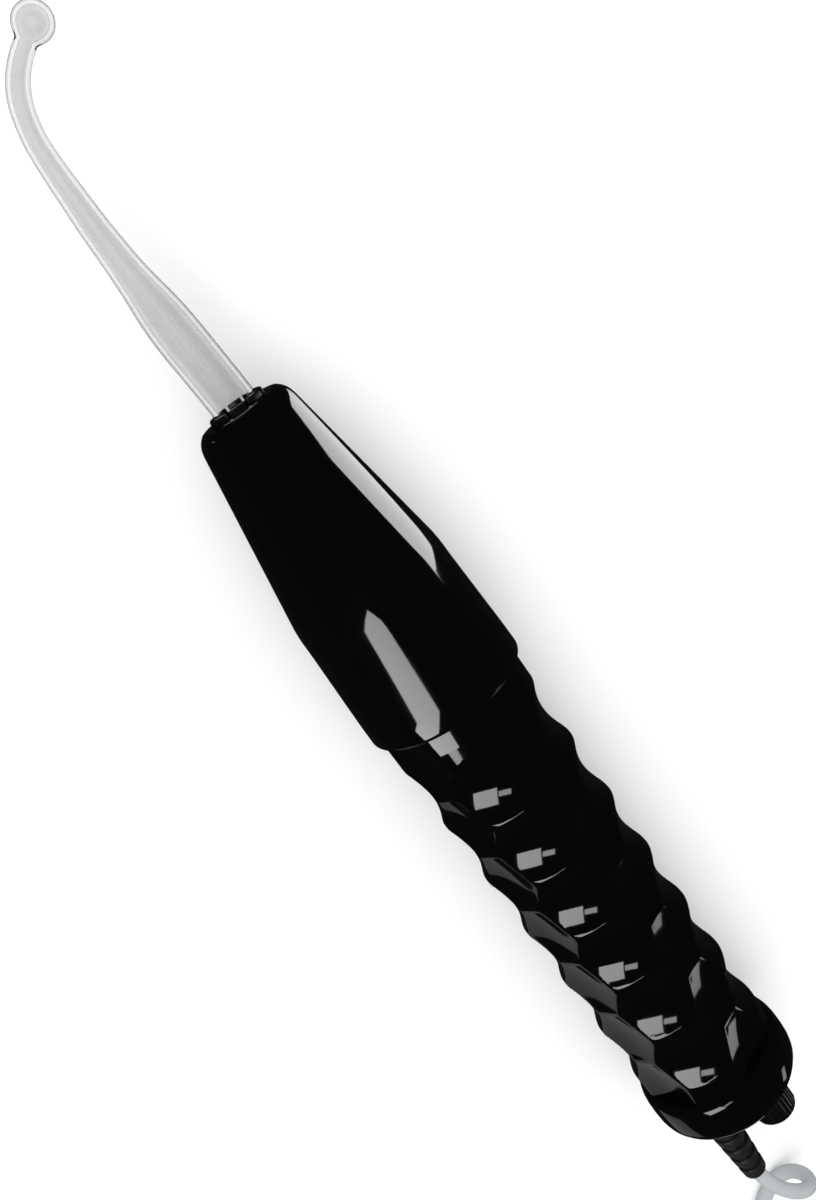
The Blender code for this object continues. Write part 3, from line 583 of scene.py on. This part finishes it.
# ---- shell pieces --------------------------------------------------------------------------------
COLLAR_START, CONE_END, CONE_START = 56.5, 49.0, 5.2
CONE_END_R, CONE_START_R = SHELL_R - 1.36, 12.78
CONE_STEPS = 10
NOSE_EDGE = [(4.0, 12.58), (2.9, 12.28), (2.0, 11.88), (1.2, 11.32), (0.6, 10.72), (0.2, 10.2), (0.0, 9.6)]
COLLET_ROOM_R, SLEEVE_ROOM_R, COIL_ROOM_R, GRIP_ROOM_R = 7.4, 9.3, 17.0, 19.0
COLLAR_EDGE = 1.3


def make_nose(made):
    outside = arc(NOSE_LEN - COLLAR_EDGE, SHELL_R - COLLAR_EDGE, COLLAR_EDGE, 5, 88, 8)
    outside += [(NOSE_LEN - 6.0, SHELL_R - 0.08), (COLLAR_START, SHELL_R - 0.98), (53.4, SHELL_R - 1.04),
                (51.2, SHELL_R - 1.14), (CONE_END, CONE_END_R)]
    for step in range(1, CONE_STEPS + 1):
        share = step / CONE_STEPS
        outside.append((CONE_END + (CONE_START - CONE_END) * share,
                        CONE_END_R + (CONE_START_R - CONE_END_R) * share))
    outside += NOSE_EDGE
    inside = [
        (0.0, 7.75), (0.15, 7.5), (0.5, COLLET_ROOM_R), (15.5, COLLET_ROOM_R), (15.5, SLEEVE_ROOM_R),
        (48.3, SLEEVE_ROOM_R), (48.3, COIL_ROOM_R), (68.1, COIL_ROOM_R), (68.1, GRIP_ROOM_R),
        (NOSE_LEN, GRIP_ROOM_R), (NOSE_LEN, SHELL_R - 1.4),
    ]
    nose = spun("nose_shell", outside + inside, steps=160, angle=30)
    return finish_piece(nose, "nose_shell", made, "handle", ["nose_cone"])


# the honeycomb: columns of shallow dishes round the grip, every other column half a row along
GRIP_R = 19.64
GRIP_SPIGOT_R = 18.7  # the plain front end that goes into the collar
RIDGE_START = 93.8
RIDGE_PITCH = 19.14
DIMPLE_COLUMNS = 8
DIMPLE_ROWS = 6
DIMPLE_TURN = 9.7
DISHES = (  # for even and odd columns: radius at the middle, rise to the next row, rise and angle to the side
    (17.42, 2.24, 1.15, 33.2),
    (17.2, 0.87, 2.6, 25.8),
)
RIDGE_ROUND = 0.14  # how softly two dishes meet at their ridge
GRIP_AROUND = 232
GRIP_ALONG = 236


def soft_min(first, second, width):
    mix = max(width - abs(first - second), 0.0) / width
    return min(first, second) - mix * mix * width / 4


def grip_radius(station, turn):
    """Radius of the honeycombed grip at a station and an angle from straight up towards +Y."""
    half = RIDGE_PITCH / 2
    radius = GRIP_R
    for column in range(DIMPLE_COLUMNS):
        centre, along_rise, side_rise, side_angle = DISHES[column % 2]
        swing = math.degrees(turn) - DIMPLE_TURN - 360 / DIMPLE_COLUMNS * column
        swing = (swing + 180.0) % 360.0 - 180.0
        if abs(swing) > 60.0:
            continue
        offset = 0.5 if column % 2 == 0 else 0.0
        rows = DIMPLE_ROWS if column % 2 == 0 else DIMPLE_ROWS + 1
        for row in range(rows):
            along = station - RIDGE_START - RIDGE_PITCH * (row + offset)
            if abs(along) < RIDGE_PITCH:
                dish = centre + along_rise * (along / half) ** 2 + side_rise * (swing / side_angle) ** 2
                radius = soft_min(radius, dish, RIDGE_ROUND)
    return radius


def make_grip(made):
    front = NOSE_LEN - 3.0
    deselect_all()
    bpy.ops.mesh.primitive_grid_add(x_subdivisions=GRIP_ALONG, y_subdivisions=GRIP_AROUND, size=2.0)
    grip = bpy.context.object
    for vertex in grip.data.vertices:
        station = front + (GRIP_END - front) * (vertex.co.x + 1) / 2
        turn = math.pi * (vertex.co.y + 1)
        radius = grip_radius(station, turn) if station > NOSE_LEN + 0.3 else GRIP_SPIGOT_R
        vertex.co = at(station, radius * math.sin(turn), radius * math.cos(turn))
    bpy.ops.object.mode_set(mode="EDIT")
    bpy.ops.mesh.select_all(action="SELECT")
    bpy.ops.mesh.remove_doubles(threshold=SPIN_WELD)
    bpy.ops.mesh.select_all(action="DESELECT")
    bpy.ops.mesh.select_mode(type="EDGE")
    bpy.ops.mesh.select_non_manifold()
    bpy.ops.mesh.extrude_edges_move()
    bpy.ops.transform.resize(value=(1.0, 0.78, 0.78), center_override=at(0.0))
    bpy.ops.mesh.bridge_edge_loops()
    bpy.ops.mesh.select_all(action="SELECT")
    bpy.ops.mesh.normals_make_consistent(inside=False)
    bpy.ops.object.mode_set(mode="OBJECT")
    shade(grip, 40)
    return finish_piece(grip, "grip_shell", made, "handle", ["grip_body"])


def cutter_rod(station_from, station_to, radius, side=0.0, rise=0.0, sides=48):
    deselect_all()
    bpy.ops.mesh.primitive_cylinder_add(
        vertices=sides, radius=radius * MM, depth=abs(station_to - station_from) * MM,
        location=at((station_from + station_to) / 2, side, rise), rotation=(0.0, math.pi / 2, 0.0))
    return bpy.context.object


def cut_away(obj, tools):
    """Cuts each tool's shape out of a piece and removes the tools."""
    for tool in tools:
        change = obj.modifiers.new("cut", "BOOLEAN")
        change.operation = "DIFFERENCE"
        change.solver = "EXACT"
        change.object = tool
    apply_modifiers(obj)
    for tool in tools:
        bpy.data.objects.remove(tool, do_unlink=True)


CAP_WALL = 2.6
CAP_SCREW_RISE = 11.2
SCREW_HOLE_R, SCREW_SEAT_R, SCREW_SEAT_DEPTH = 1.5, 2.7, 1.5
BUSHING_HOLE_R, BOOT_HOLE_R = 4.6, 3.9


def make_cap(made):
    front = GRIP_END + 0.3
    inside = CAP_END - CAP_WALL
    profile = [
        (CAP_END, 0.0), (CAP_END, 9.0), (CAP_END, 17.2), (CAP_END - 0.15, 18.6), (CAP_END - 0.55, 19.7),
        (CAP_END - 1.2, 20.5), (CAP_END - 2.2, 21.05), (CAP_END - 3.6, 21.3), (CAP_END - 6.5, SHELL_R),
        (CAP_END - 9.2, 21.32), (front + 2.6, 21.1), (front + 1.6, 20.8), (front + 0.9, 20.4),
        (front + 0.35, 19.95), (front, 19.45), (front, 14.7), (front - 3.5, 14.7), (front - 3.5, 13.2),
        (front + 1.5, 13.2), (front + 3.5, 17.5), (inside, 17.5), (inside, 0.0),
    ]
    cap = spun("cap_shell", profile, steps=144, closed=False, angle=30)
    tools = [
        cutter_rod(inside - 1, CAP_END + 1, BUSHING_HOLE_R, side=KNOB_SIDE),
        cutter_rod(inside - 1, CAP_END + 1, BOOT_HOLE_R, side=BOOT_SIDE),
    ]
    for rise in (CAP_SCREW_RISE, -CAP_SCREW_RISE):
        tools.append(cutter_rod(inside - 1, CAP_END + 1, SCREW_HOLE_R, rise=rise, sides=24))
        tools.append(cutter_rod(CAP_END - SCREW_SEAT_DEPTH, CAP_END + 1, SCREW_SEAT_R, rise=rise, sides=32))
    cut_away(cap, tools)
    shade(cap, 30)
    return finish_piece(cap, "cap_shell", made, "handle", ["rear_cap"])


def make_cap_screw(number, rise, made):
    head = CAP_END - 1.2
    tip = NOSE_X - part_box(f"cap_screw_{number}")[1][0] / MM
    profile = [
        (CAP_END, 0.0), (CAP_END, 1.7), (CAP_END - 0.12, 2.1), (CAP_END - 0.4, 2.35), (CAP_END - 0.6, 2.4),
        (head, 2.4), (head, 1.2), (tip + 1.0, 1.2), (tip, 0.0),
    ]
    screw = spun(f"screw_{number}", profile, rise=rise, steps=40, closed=False)
    cross = [add_block(at(CAP_END, 0.0, rise), size) for size in ((1.2, 2.6, 0.5), (1.2, 0.5, 2.6))]
    cut_away(screw, cross)
    shade(screw, 30)
    return finish_piece(screw, f"screw_{number}", made, "handle", [f"cap_screw_{number}"])


def make_nut(made):
    nut = cutter_rod(CAP_END + 0.3, CAP_END + 2.8, 5.6, side=KNOB_SIDE, sides=6)
    cut_away(nut, [cutter_rod(CAP_END, CAP_END + 4, BUSHING_HOLE_R, side=KNOB_SIDE)])
    round_edges(nut, 0.25, 3, 30)
    shade(nut, 30)
    return finish_piece(nut, "control_nut", made, "handle", ["bushing_nut"])


# ---- collet and electrode ------------------------------------------------------------------------
COLLET_SLOT_END = 11.0
COLLET_SLOT_WIDTH = 1.2
COLLET_SLOT_LINES = 4  # each line cuts two slots, on opposite sides


def make_collet(made):
    outer, bore, proud = 7.1, 5.8, 1.6
    profile = [
        (18.0, 8.6), (15.8, 8.6), (15.8, outer), (-proud + 0.7, outer), (-proud + 0.3, outer - 0.1),
        (-proud + 0.05, outer - 0.35), (-proud, outer - 0.6), (-proud, bore + 0.3),
        (-proud + 0.1, bore + 0.1), (-proud + 0.4, bore), (18.0, bore),
    ]
    collet = spun("collet_shell", profile, steps=128)
    slot_size = (COLLET_SLOT_END + proud + 1, COLLET_SLOT_WIDTH, 20)
    slot_centre = at((COLLET_SLOT_END - proud - 1) / 2)
    turn = 180 / COLLET_SLOT_LINES
    slots = [add_block(slot_centre, slot_size, turn * (number + 0.5)) for number in range(COLLET_SLOT_LINES)]
    cut_away(collet, slots)
    round_edges(collet, 0.14, 2, 50)
    shade(collet, 35)
    return finish_piece(collet, "collet_shell", made, "collet", ["collet"])


GLASS_LINE = [  # station, side and radius of the glass, from its foot to the ball's neck
    (26.0, 0.0, 4.7), (22.0, 0.0, 4.7), (18.9, 0.0, 4.7), (18.4, 0.0, 4.9), (17.8, 0.0, 5.4),
    (17.0, 0.0, 5.5), (8.0, 0.0, 5.5), (-2.0, 0.1, 5.5), (-12.0, 0.6, 5.5), (-19.0, 1.0, 5.5),
    (-24.0, 1.25, 5.35), (-28.0, 1.4, 5.0),
    (-33.0, 1.6, 4.35), (-38.0, 1.8, 3.85), (-43.0, 1.9, 3.55), (-49.0, 2.0, 3.3), (-55.0, 1.9, 3.05),
    (-60.5, 1.8, 2.85), (-65.0, 1.6, 2.7), (-69.0, 1.2, 2.6), (-72.5, 0.4, 2.55), (-75.5, -0.6, 2.55),
    (-78.0, -1.9, 2.55), (-80.2, -3.5, 2.5), (-82.0, -5.3, 2.45), (-83.5, -7.2, 2.4), (-84.7, -9.1, 2.35),
]
BALL_CENTRE = (-86.9, -12.6)
BALL_R = 4.45
BALL_STEPS = 18
STEM_R = 5.5
GLASS_WALL = 1.0


def make_glass(made):
    # the radius rides along as a third coordinate while the centreline is smoothed
    run = smooth_line([Vector(point) for point in GLASS_LINE], 0.9)
    points = [at(p.x, p.y) for p in run]
    radii = [p.z * MM for p in run]
    towards = (at(*BALL_CENTRE) - points[-1]).normalized()
    neck = GLASS_LINE[-1][2]
    start = math.asin(neck / BALL_R)
    for stop in range(1, BALL_STEPS + 1):
        angle = start + (math.pi - start) * stop / BALL_STEPS
        points.append(at(*BALL_CENTRE) - towards * BALL_R * math.cos(angle) * MM)
        radii.append(max(BALL_R * math.sin(angle) * MM, 0.0000001))
    glass = curve_tube("glass", points, STEM_R * MM, resolution=22, radii=radii, capped=False)
    make_active(glass)
    bpy.ops.object.convert(target="MESH")
    glass = bpy.context.object
    bpy.ops.object.mode_set(mode="EDIT")
    weld(GLASS_WELD)
    wall = glass.modifiers.new("wall", "SOLIDIFY")
    wall.thickness = GLASS_WALL * MM
    wall.offset = -1.0
    apply_modifiers(glass)
    shade(glass, 50)
    return finish_piece(glass, "glass_electrode", made, "electrode", ["glass_tube"])


# ---- knob, boot and plug -------------------------------------------------------------------------
KNOB_FLUTES = 24
FLUTE_DEPTH = 0.22 * MM
POINTER_SLOT = (14, 1.6, 2.1)


def make_knob(made):
    rear, front = KNOB_REAR, KNOB_FRONT
    profile = [
        (rear - 0.5, 0.0), (rear - 0.5, KNOB_R - 1.9), (rear - 0.3, KNOB_R - 1.5), (rear, KNOB_R - 1.1),
        (rear, KNOB_R - 0.8), (rear - 0.15, KNOB_R - 0.4), (rear - 0.45, KNOB_R - 0.12), (rear - 0.9, KNOB_R),
        (rear - 4.0, KNOB_R), (front + 2.4, KNOB_R), (front + 2.0, KNOB_R - 0.25),
        (front + 1.6, KNOB_R - 0.25), (front + 1.2, KNOB_R), (front + 0.5, KNOB_R),
        (front + 0.1, KNOB_R - 0.15), (front, KNOB_R - 0.5),
        (front, 3.2), (rear - 1.7, 3.2), (rear - 1.7, 0.0),
    ]
    knob = spun("knob_shell", profile, side=KNOB_SIDE, steps=144, closed=False)
    middle = at(0.0, KNOB_SIDE)
    for vertex in knob.data.vertices:
        offset = Vector((0.0, vertex.co.y - middle.y, vertex.co.z - middle.z))
        station = NOSE_X - vertex.co.x / MM
        if offset.length > (KNOB_R - 0.02) * MM and station > front + 2.2:
            turn = math.atan2(offset.z, offset.y)
            flute = max(0.0, math.cos(KNOB_FLUTES * turn)) ** 2 * FLUTE_DEPTH
            vertex.co -= offset.normalized() * flute
    cut_away(knob, [add_block(at((rear + front) / 2, KNOB_SIDE - KNOB_R), POINTER_SLOT)])
    shade(knob, 32)
    return finish_piece(knob, "knob_shell", made, "knob", ["knob"])


BOOT_RIBS = 6
BOOT_GROOVE = 0.75
BOOT_ROOT_R, BOOT_TIP_R = 5.4, 3.5
BOOT_CORE_R = 3.05  # the grooves don't go deeper than this


def make_boot(made):
    root = CAP_END + 0.3
    step = (BOOT_END - root) / (BOOT_RIBS + 1)
    profile = [(BOOT_END, 2.5), (BOOT_END, 3.1), (BOOT_END - 0.15, 3.35), (BOOT_END - 0.5, 3.5)]
    for rib in range(BOOT_RIBS, 0, -1):
        station = root + step * rib
        radius = BOOT_ROOT_R + (BOOT_TIP_R - BOOT_ROOT_R) * (station - root) / (BOOT_END - root)
        profile += [
            (station + 1.15, radius - 0.02), (station + 0.85, radius - 0.12),
            (station + 0.7, radius - BOOT_GROOVE), (station - 0.7, radius - BOOT_GROOVE),
            (station - 0.85, radius - 0.08), (station - 1.15, radius + 0.05),
        ]
    profile += [
        (root + 0.6, BOOT_ROOT_R), (root + 0.15, BOOT_ROOT_R - 0.1), (root, 5.0), (root, 3.6), (225.1, 3.6),
        (225.1, 4.5), (223.0, 4.5), (223.0, 2.45),
    ]
    boot = spun("boot_shell", profile, side=BOOT_SIDE, steps=72, angle=30)
    tools = []
    for rib in range(1, BOOT_RIBS + 1):
        size = (1.3, 12.0, 1.5) if rib % 2 else (1.3, 1.5, 12.0)
        tools.append(add_block(at(root + step * rib, BOOT_SIDE), size))
    core = cutter_rod(root - 1, BOOT_END + 1, BOOT_CORE_R, side=BOOT_SIDE)
    for block in tools:
        spare = core.copy()
        spare.data = core.data.copy()
        bpy.context.scene.collection.objects.link(spare)
        cut_away(block, [spare])
    bpy.data.objects.remove(core, do_unlink=True)
    cut_away(boot, tools)
    shade(boot, 30)
    return finish_piece(boot, "boot_shell", made, "handle", ["strain_relief"])


BLADE_ROOM = Vector((0.6, 0.6, 0.6))


def make_plug(made):
    low, high = [Vector(corner) for corner in PLUG_BOX]
    middle, size = (low + high) / 2, high - low
    plug = add_block(middle, size / MM)
    bpy.ops.object.transform_apply(location=True, rotation=False, scale=True)
    bpy.ops.object.mode_set(mode="EDIT")
    bpy.ops.mesh.select_all(action="SELECT")
    bpy.ops.mesh.subdivide(number_cuts=11)
    bpy.ops.object.mode_set(mode="OBJECT")
    for vertex in plug.data.vertices:
        share = (vertex.co.y - low.y) / size.y  # 0 at the blades, 1 at the cord
        waist = 1 - 0.46 * ease((share - 0.25) / 0.75)
        flat = 1 - 0.38 * ease((share - 0.35) / 0.65)
        ribbed = 0.3 < share < 0.85
        ridge = 1 - 0.05 * (0.5 + 0.5 * math.cos(2 * math.pi * share * 8)) if ribbed else 1.0
        vertex.co.x = middle.x + (vertex.co.x - middle.x) * waist * ridge
        vertex.co.z = middle.z + (vertex.co.z - middle.z) * flat * ridge
    round_edges(plug, 1.8, 4, 60)
    sockets = []
    for number in (1, 2):
        blade_low, blade_high = [Vector(corner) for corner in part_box(f"plug_blade_{number}")]
        sockets.append(add_block((blade_low + blade_high) / 2, (blade_high - blade_low) / MM + BLADE_ROOM))
    cut_away(plug, sockets)
    shade(plug, 38)
    return finish_piece(plug, "plug_shell", made, "handle", ["plug_body"])


# ---- floor and light, in metres --------------------------------------------------------------------
WHITE = (1.0, 1.0, 1.0, 1.0)
FLOOR_SIZE = 6.0
FLOOR_GLOW = 0.08
DARK_ROOM = 0.012  # brightness of the room in polished surfaces
OVERHEAD_AWAY = Vector((0.1, 0.3, 1.2))
OVERHEAD_POWER = 5.0
FAR, NEAR = 1.2, 0.8  # how far the light cards stand from the wand
CONE_PANEL = (0.07, -0.26, -0.19)
WAND_TAIL = -0.2  # behind everything that the cards light


def make_floor():
    deselect_all()
    bpy.ops.mesh.primitive_plane_add(size=FLOOR_SIZE, location=(0.0, 0.0, -0.2 * MM))
    floor = bpy.context.object
    floor.name = "floor"
    made, tree, shader = new_material("floor_paper")
    cloud = add_node(tree, "ShaderNodeTexNoise", {"Vector": object_coords(tree), "Scale": 3.0})
    spread = add_node(tree, "ShaderNodeMapRange", {0: cloud.outputs["Fac"], 3: 0.92, 4: 0.94})
    grey = spread.outputs[0]
    colour = add_node(tree, "ShaderNodeCombineColor", {0: grey, 1: grey, 2: grey})
    tree.links.new(colour.outputs[0], shader.inputs["Base Color"])
    shader.inputs["Roughness"].default_value = 0.9
    shader.inputs["Emission Color"].default_value = WHITE
    shader.inputs["Emission Strength"].default_value = FLOOR_GLOW
    floor.data.materials.append(made)
    floor.visible_glossy = False


def light_gate(tree, reach, axis, level):
    """1 where the light lands between two places along the wand, else 0.

    axis and level give the plane that it lands on.
    """
    geometry = add_node(tree, "ShaderNodeNewGeometry")
    place = add_node(tree, "ShaderNodeSeparateXYZ", {0: geometry.outputs["Position"]})
    way = add_node(tree, "ShaderNodeSeparateXYZ", {0: geometry.outputs["Incoming"]})
    fall = add_node(tree, "ShaderNodeMath", {0: level, 1: place.outputs[axis]}, operation="SUBTRACT")
    run = add_node(tree, "ShaderNodeMath", {0: fall.outputs[0], 1: way.outputs[axis]}, operation="DIVIDE")
    landing = add_node(tree, "ShaderNodeMath", {0: way.outputs[0], 1: run.outputs[0], 2: place.outputs[0]},
                       operation="MULTIPLY_ADD")
    after = add_node(tree, "ShaderNodeMath", {0: landing.outputs[0], 1: reach[0]}, operation="GREATER_THAN")
    before = add_node(tree, "ShaderNodeMath", {0: landing.outputs[0], 1: reach[1]}, operation="LESS_THAN")
    both = add_node(tree, "ShaderNodeMath", {0: after.outputs[0], 1: before.outputs[0]}, operation="MULTIPLY")
    return both.outputs[0]


def light_card(name, centre, size, strengths, aim, roll=0.0, gate=None):
    """A bright panel that only polished surfaces see; its strength runs from its lower to its upper edge."""
    deselect_all()
    bpy.ops.mesh.primitive_plane_add(size=1.0, location=centre)
    card = bpy.context.object
    card.name = name
    card.scale = (size[0], size[1], 1.0)
    away = Vector(aim) - Vector(centre)
    card.rotation_mode = "QUATERNION"
    turn = away.to_track_quat("Z", "Y")
    card.rotation_quaternion = turn @ Matrix.Rotation(math.radians(roll), 3, "Z").to_quaternion()
    made = bpy.data.materials.new(name)
    made.use_nodes = True
    tree = made.node_tree
    tree.nodes.clear()
    place = add_node(tree, "ShaderNodeSeparateXYZ", {0: object_coords(tree)})
    slope = add_node(tree, "ShaderNodeMapRange", {
        0: place.outputs[1], 1: -0.5, 2: 0.5, 3: strengths[0], 4: strengths[1]})
    glow = add_node(tree, "ShaderNodeEmission", {"Color": WHITE, "Strength": slope.outputs[0]})
    if gate:
        clear = add_node(tree, "ShaderNodeBsdfTransparent")
        glow = add_node(tree, "ShaderNodeMixShader", {
            0: light_gate(tree, *gate), 1: clear.outputs[0], 2: glow.outputs[0]})
    out = add_node(tree, "ShaderNodeOutputMaterial")
    tree.links.new(glow.outputs[0], out.inputs["Surface"])
    made.cycles.emission_sampling = "NONE"
    card.data.materials.append(made)
    for ray in ("camera", "diffuse", "shadow", "transmission"):
        setattr(card, f"visible_{ray}", False)


def card_towards(name, station, direction, distance, size, strengths, gate=None):
    """A panel at a distance from the axis at a station, square on to the line between them."""
    centre = at(station) + Vector(direction).normalized() * distance
    light_card(name, centre, size, strengths, at(station), gate=gate)


def soft_light(name, place, aim, size, power):
    """A wide soft lamp that doesn't show in polished surfaces."""
    data = bpy.data.lights.new(name, "AREA")
    data.shape = "RECTANGLE"
    data.size, data.size_y = size
    data.energy = power
    light = bpy.data.objects.new(name, data)
    bpy.context.scene.collection.objects.link(light)
    light.location = place
    light.rotation_mode = "QUATERNION"
    light.rotation_quaternion = (Vector(aim) - Vector(place)).to_track_quat("-Z", "Y")
    light.visible_glossy = False


def make_world():
    """A white room, which polished surfaces and glass see as a dark one."""
    world = bpy.data.worlds.new("studio")
    bpy.context.scene.world = world
    world.use_nodes = True
    tree = world.node_tree
    tree.nodes.clear()
    rays = add_node(tree, "ShaderNodeLightPath").outputs
    seen = add_node(tree, "ShaderNodeBackground", {"Color": WHITE, "Strength": 1.0})
    dim = add_node(tree, "ShaderNodeBackground", {"Color": WHITE, "Strength": DARK_ROOM})
    polished = add_node(tree, "ShaderNodeMath", {
        0: rays["Is Glossy Ray"], 1: rays["Is Transmission Ray"]}, operation="MAXIMUM")
    pick = add_node(tree, "ShaderNodeMixShader", {
        0: polished.outputs[0], 1: seen.outputs[0], 2: dim.outputs[0]})
    out = add_node(tree, "ShaderNodeOutputWorld")
    tree.links.new(pick.outputs[0], out.inputs["Surface"])


def make_lighting():
    middle = at(90.0)
    soft_light("overhead", middle + OVERHEAD_AWAY, middle, (1.4, 1.0), OVERHEAD_POWER)
    make_world()
    nose, cone_end = NOSE_X * MM, (NOSE_X - 58.0) * MM
    collar_end = (NOSE_X - NOSE_LEN - 3.0) * MM
    # where light from above, from -Y and from +Y lands on the wand
    top, near, far = AXIS_RISE * MM + 0.015, -0.015, 0.012
    on_cone, on_shell, on_grip = (cone_end, nose), (collar_end, nose), (WAND_TAIL, collar_end)
    on_nose = (nose - 0.014, nose + 0.001)
    # panel low on the -Y side, brightest at its upper edge, mirrored along the cone
    panel = Vector(CONE_PANEL)
    light_card("low_strip", panel, (0.12, 0.47), (1.0, 8.0), (panel.x, 0.0, panel.z), -12.0,
               (on_cone, 1, near))
    # boxes high towards +Y, mirrored in the collar and in the dimples
    card_towards("collar_box", 66.0, (-0.35, 0.53, 0.77), FAR, (0.30, 1.05), (8.0, 6.0), (on_shell, 2, top))
    card_towards("high_box", 120.0, (-0.235, 0.57, 0.79), FAR, (0.42, 0.52), (6.0, 6.0), (on_grip, 2, top))
    card_towards("high_bar", 120.0, (-0.14, 0.28, 0.95), FAR, (0.13, 0.26), (5.0, 5.0), (on_grip, 2, top))
    # dim panel low on the +Y side, mirrored in the side dimples
    card_towards("side_panel", 160.0, (-0.68, 0.70, -0.25), NEAR, (0.34, 0.36), (0.35, 0.35))
    # small box level with the axis behind the grip, mirrored in the rear dimples and the cap
    card_towards("rear_box", 200.0, (-0.74, -0.66, 0.09), NEAR, (0.12, 0.10), (2.0, 2.0))
    # box low in front towards +Y, mirrored in the rounded edge of the nose
    card_towards("nose_box", 0.0, (0.66, 0.69, -0.26), NEAR, (0.24, 0.16), (5.0, 5.0), (on_nose, 1, far))


# ---- finishes of the pieces that come over from the frame as they are -----------------------------
def finish_node(name, made):
    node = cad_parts[name]
    node.data.materials.clear()
    node.data.materials.append(made)


# ---- build ---------------------------------------------------------------------------------------
make_camera()
bpy.context.scene.view_settings.view_transform = "Standard"
shell_black = gloss_plastic("shell_black", (0.0012, 0.0012, 0.0012), roughness=0.05)
knob_black = gloss_plastic("knob_black", (0.003, 0.003, 0.003), roughness=0.16, scuff=0.1)
rubber_black = matt_material("rubber_black", (0.012, 0.012, 0.013), roughness=0.42, bump=0.00002)
collet_black = matt_material("collet_black", (0.003, 0.003, 0.003), roughness=0.3)
sheath_grey = matt_material("sheath_grey", (0.45, 0.48, 0.49), roughness=0.34, variation=0.05, scale=1400.0)
strap_black = matt_material("strap_black", (0.02, 0.02, 0.022), roughness=0.8, scale=900.0, bump=0.0002,
                            sheen=0.4)
steel_bright = turned_metal("steel_bright", (0.62, 0.62, 0.60))
brass_satin = turned_metal("brass_satin", (0.78, 0.60, 0.30), 0.28)
insulator_cream = matt_material("insulator_cream", (0.72, 0.70, 0.64), roughness=0.55, variation=0.06)
copper_wire = wound_wire("copper_wire", (0.72, 0.30, 0.13), 0.0003)
ferrite_grey = matt_material("ferrite_grey", (0.045, 0.045, 0.05), roughness=0.6, bump=0.00005)
board_green = matt_material("board_green", (0.03, 0.16, 0.07), roughness=0.35, variation=0.12)
film_red = gloss_plastic("film_red", (0.38, 0.07, 0.03), roughness=0.2)
can_blue = gloss_plastic("can_blue", (0.02, 0.03, 0.12), roughness=0.2)
resistor_tan = matt_material("resistor_tan", (0.60, 0.47, 0.30), roughness=0.5)
chip_black = matt_material("chip_black", (0.02, 0.02, 0.02), roughness=0.5)
sink_grey = turned_metal("sink_grey", (0.55, 0.55, 0.57), 0.35)
pot_grey = turned_metal("pot_grey", (0.30, 0.30, 0.31), 0.35)
pointer_red = gloss_plastic("pointer_red", (0.22, 0.004, 0.014), roughness=0.25)
electrode_glass = clear_glass("electrode_glass")

make_plug(sheath_grey)
make_cord(sheath_grey, strap_black)
make_nose(shell_black)
make_grip(shell_black)
make_cap(shell_black)
for number, rise in ((1, CAP_SCREW_RISE), (2, -CAP_SCREW_RISE)):
    make_cap_screw(number, rise, steel_bright)
make_nut(steel_bright)
make_collet(collet_black)
make_glass(electrode_glass)
make_knob(knob_black)
make_boot(rubber_black)

for names, made in (
    (("ferrule", "knob_shaft", "contact_spring"), steel_bright),
    (("contact_cup", "cord_collar", "plug_blade_1", "plug_blade_2"), brass_satin),
    (("socket_sleeve", "coil_bobbin", "chassis"), insulator_cream),
    (("secondary_winding", "primary_winding"), copper_wire),
    (("ferrite_core",), ferrite_grey),
    (("circuit_board",), board_green),
    (("film_capacitor",), film_red),
    (("electrolytic_capacitor",), can_blue),
    (("resistor_1", "resistor_2"), resistor_tan),
    (("power_transistor", "rectifier"), chip_black),
    (("heat_sink",), sink_grey),
    (("potentiometer",), pot_grey),
    (("knob_pointer",), pointer_red),
):
    for node_name in names:
        finish_node(node_name, made)

make_floor()
make_lighting()
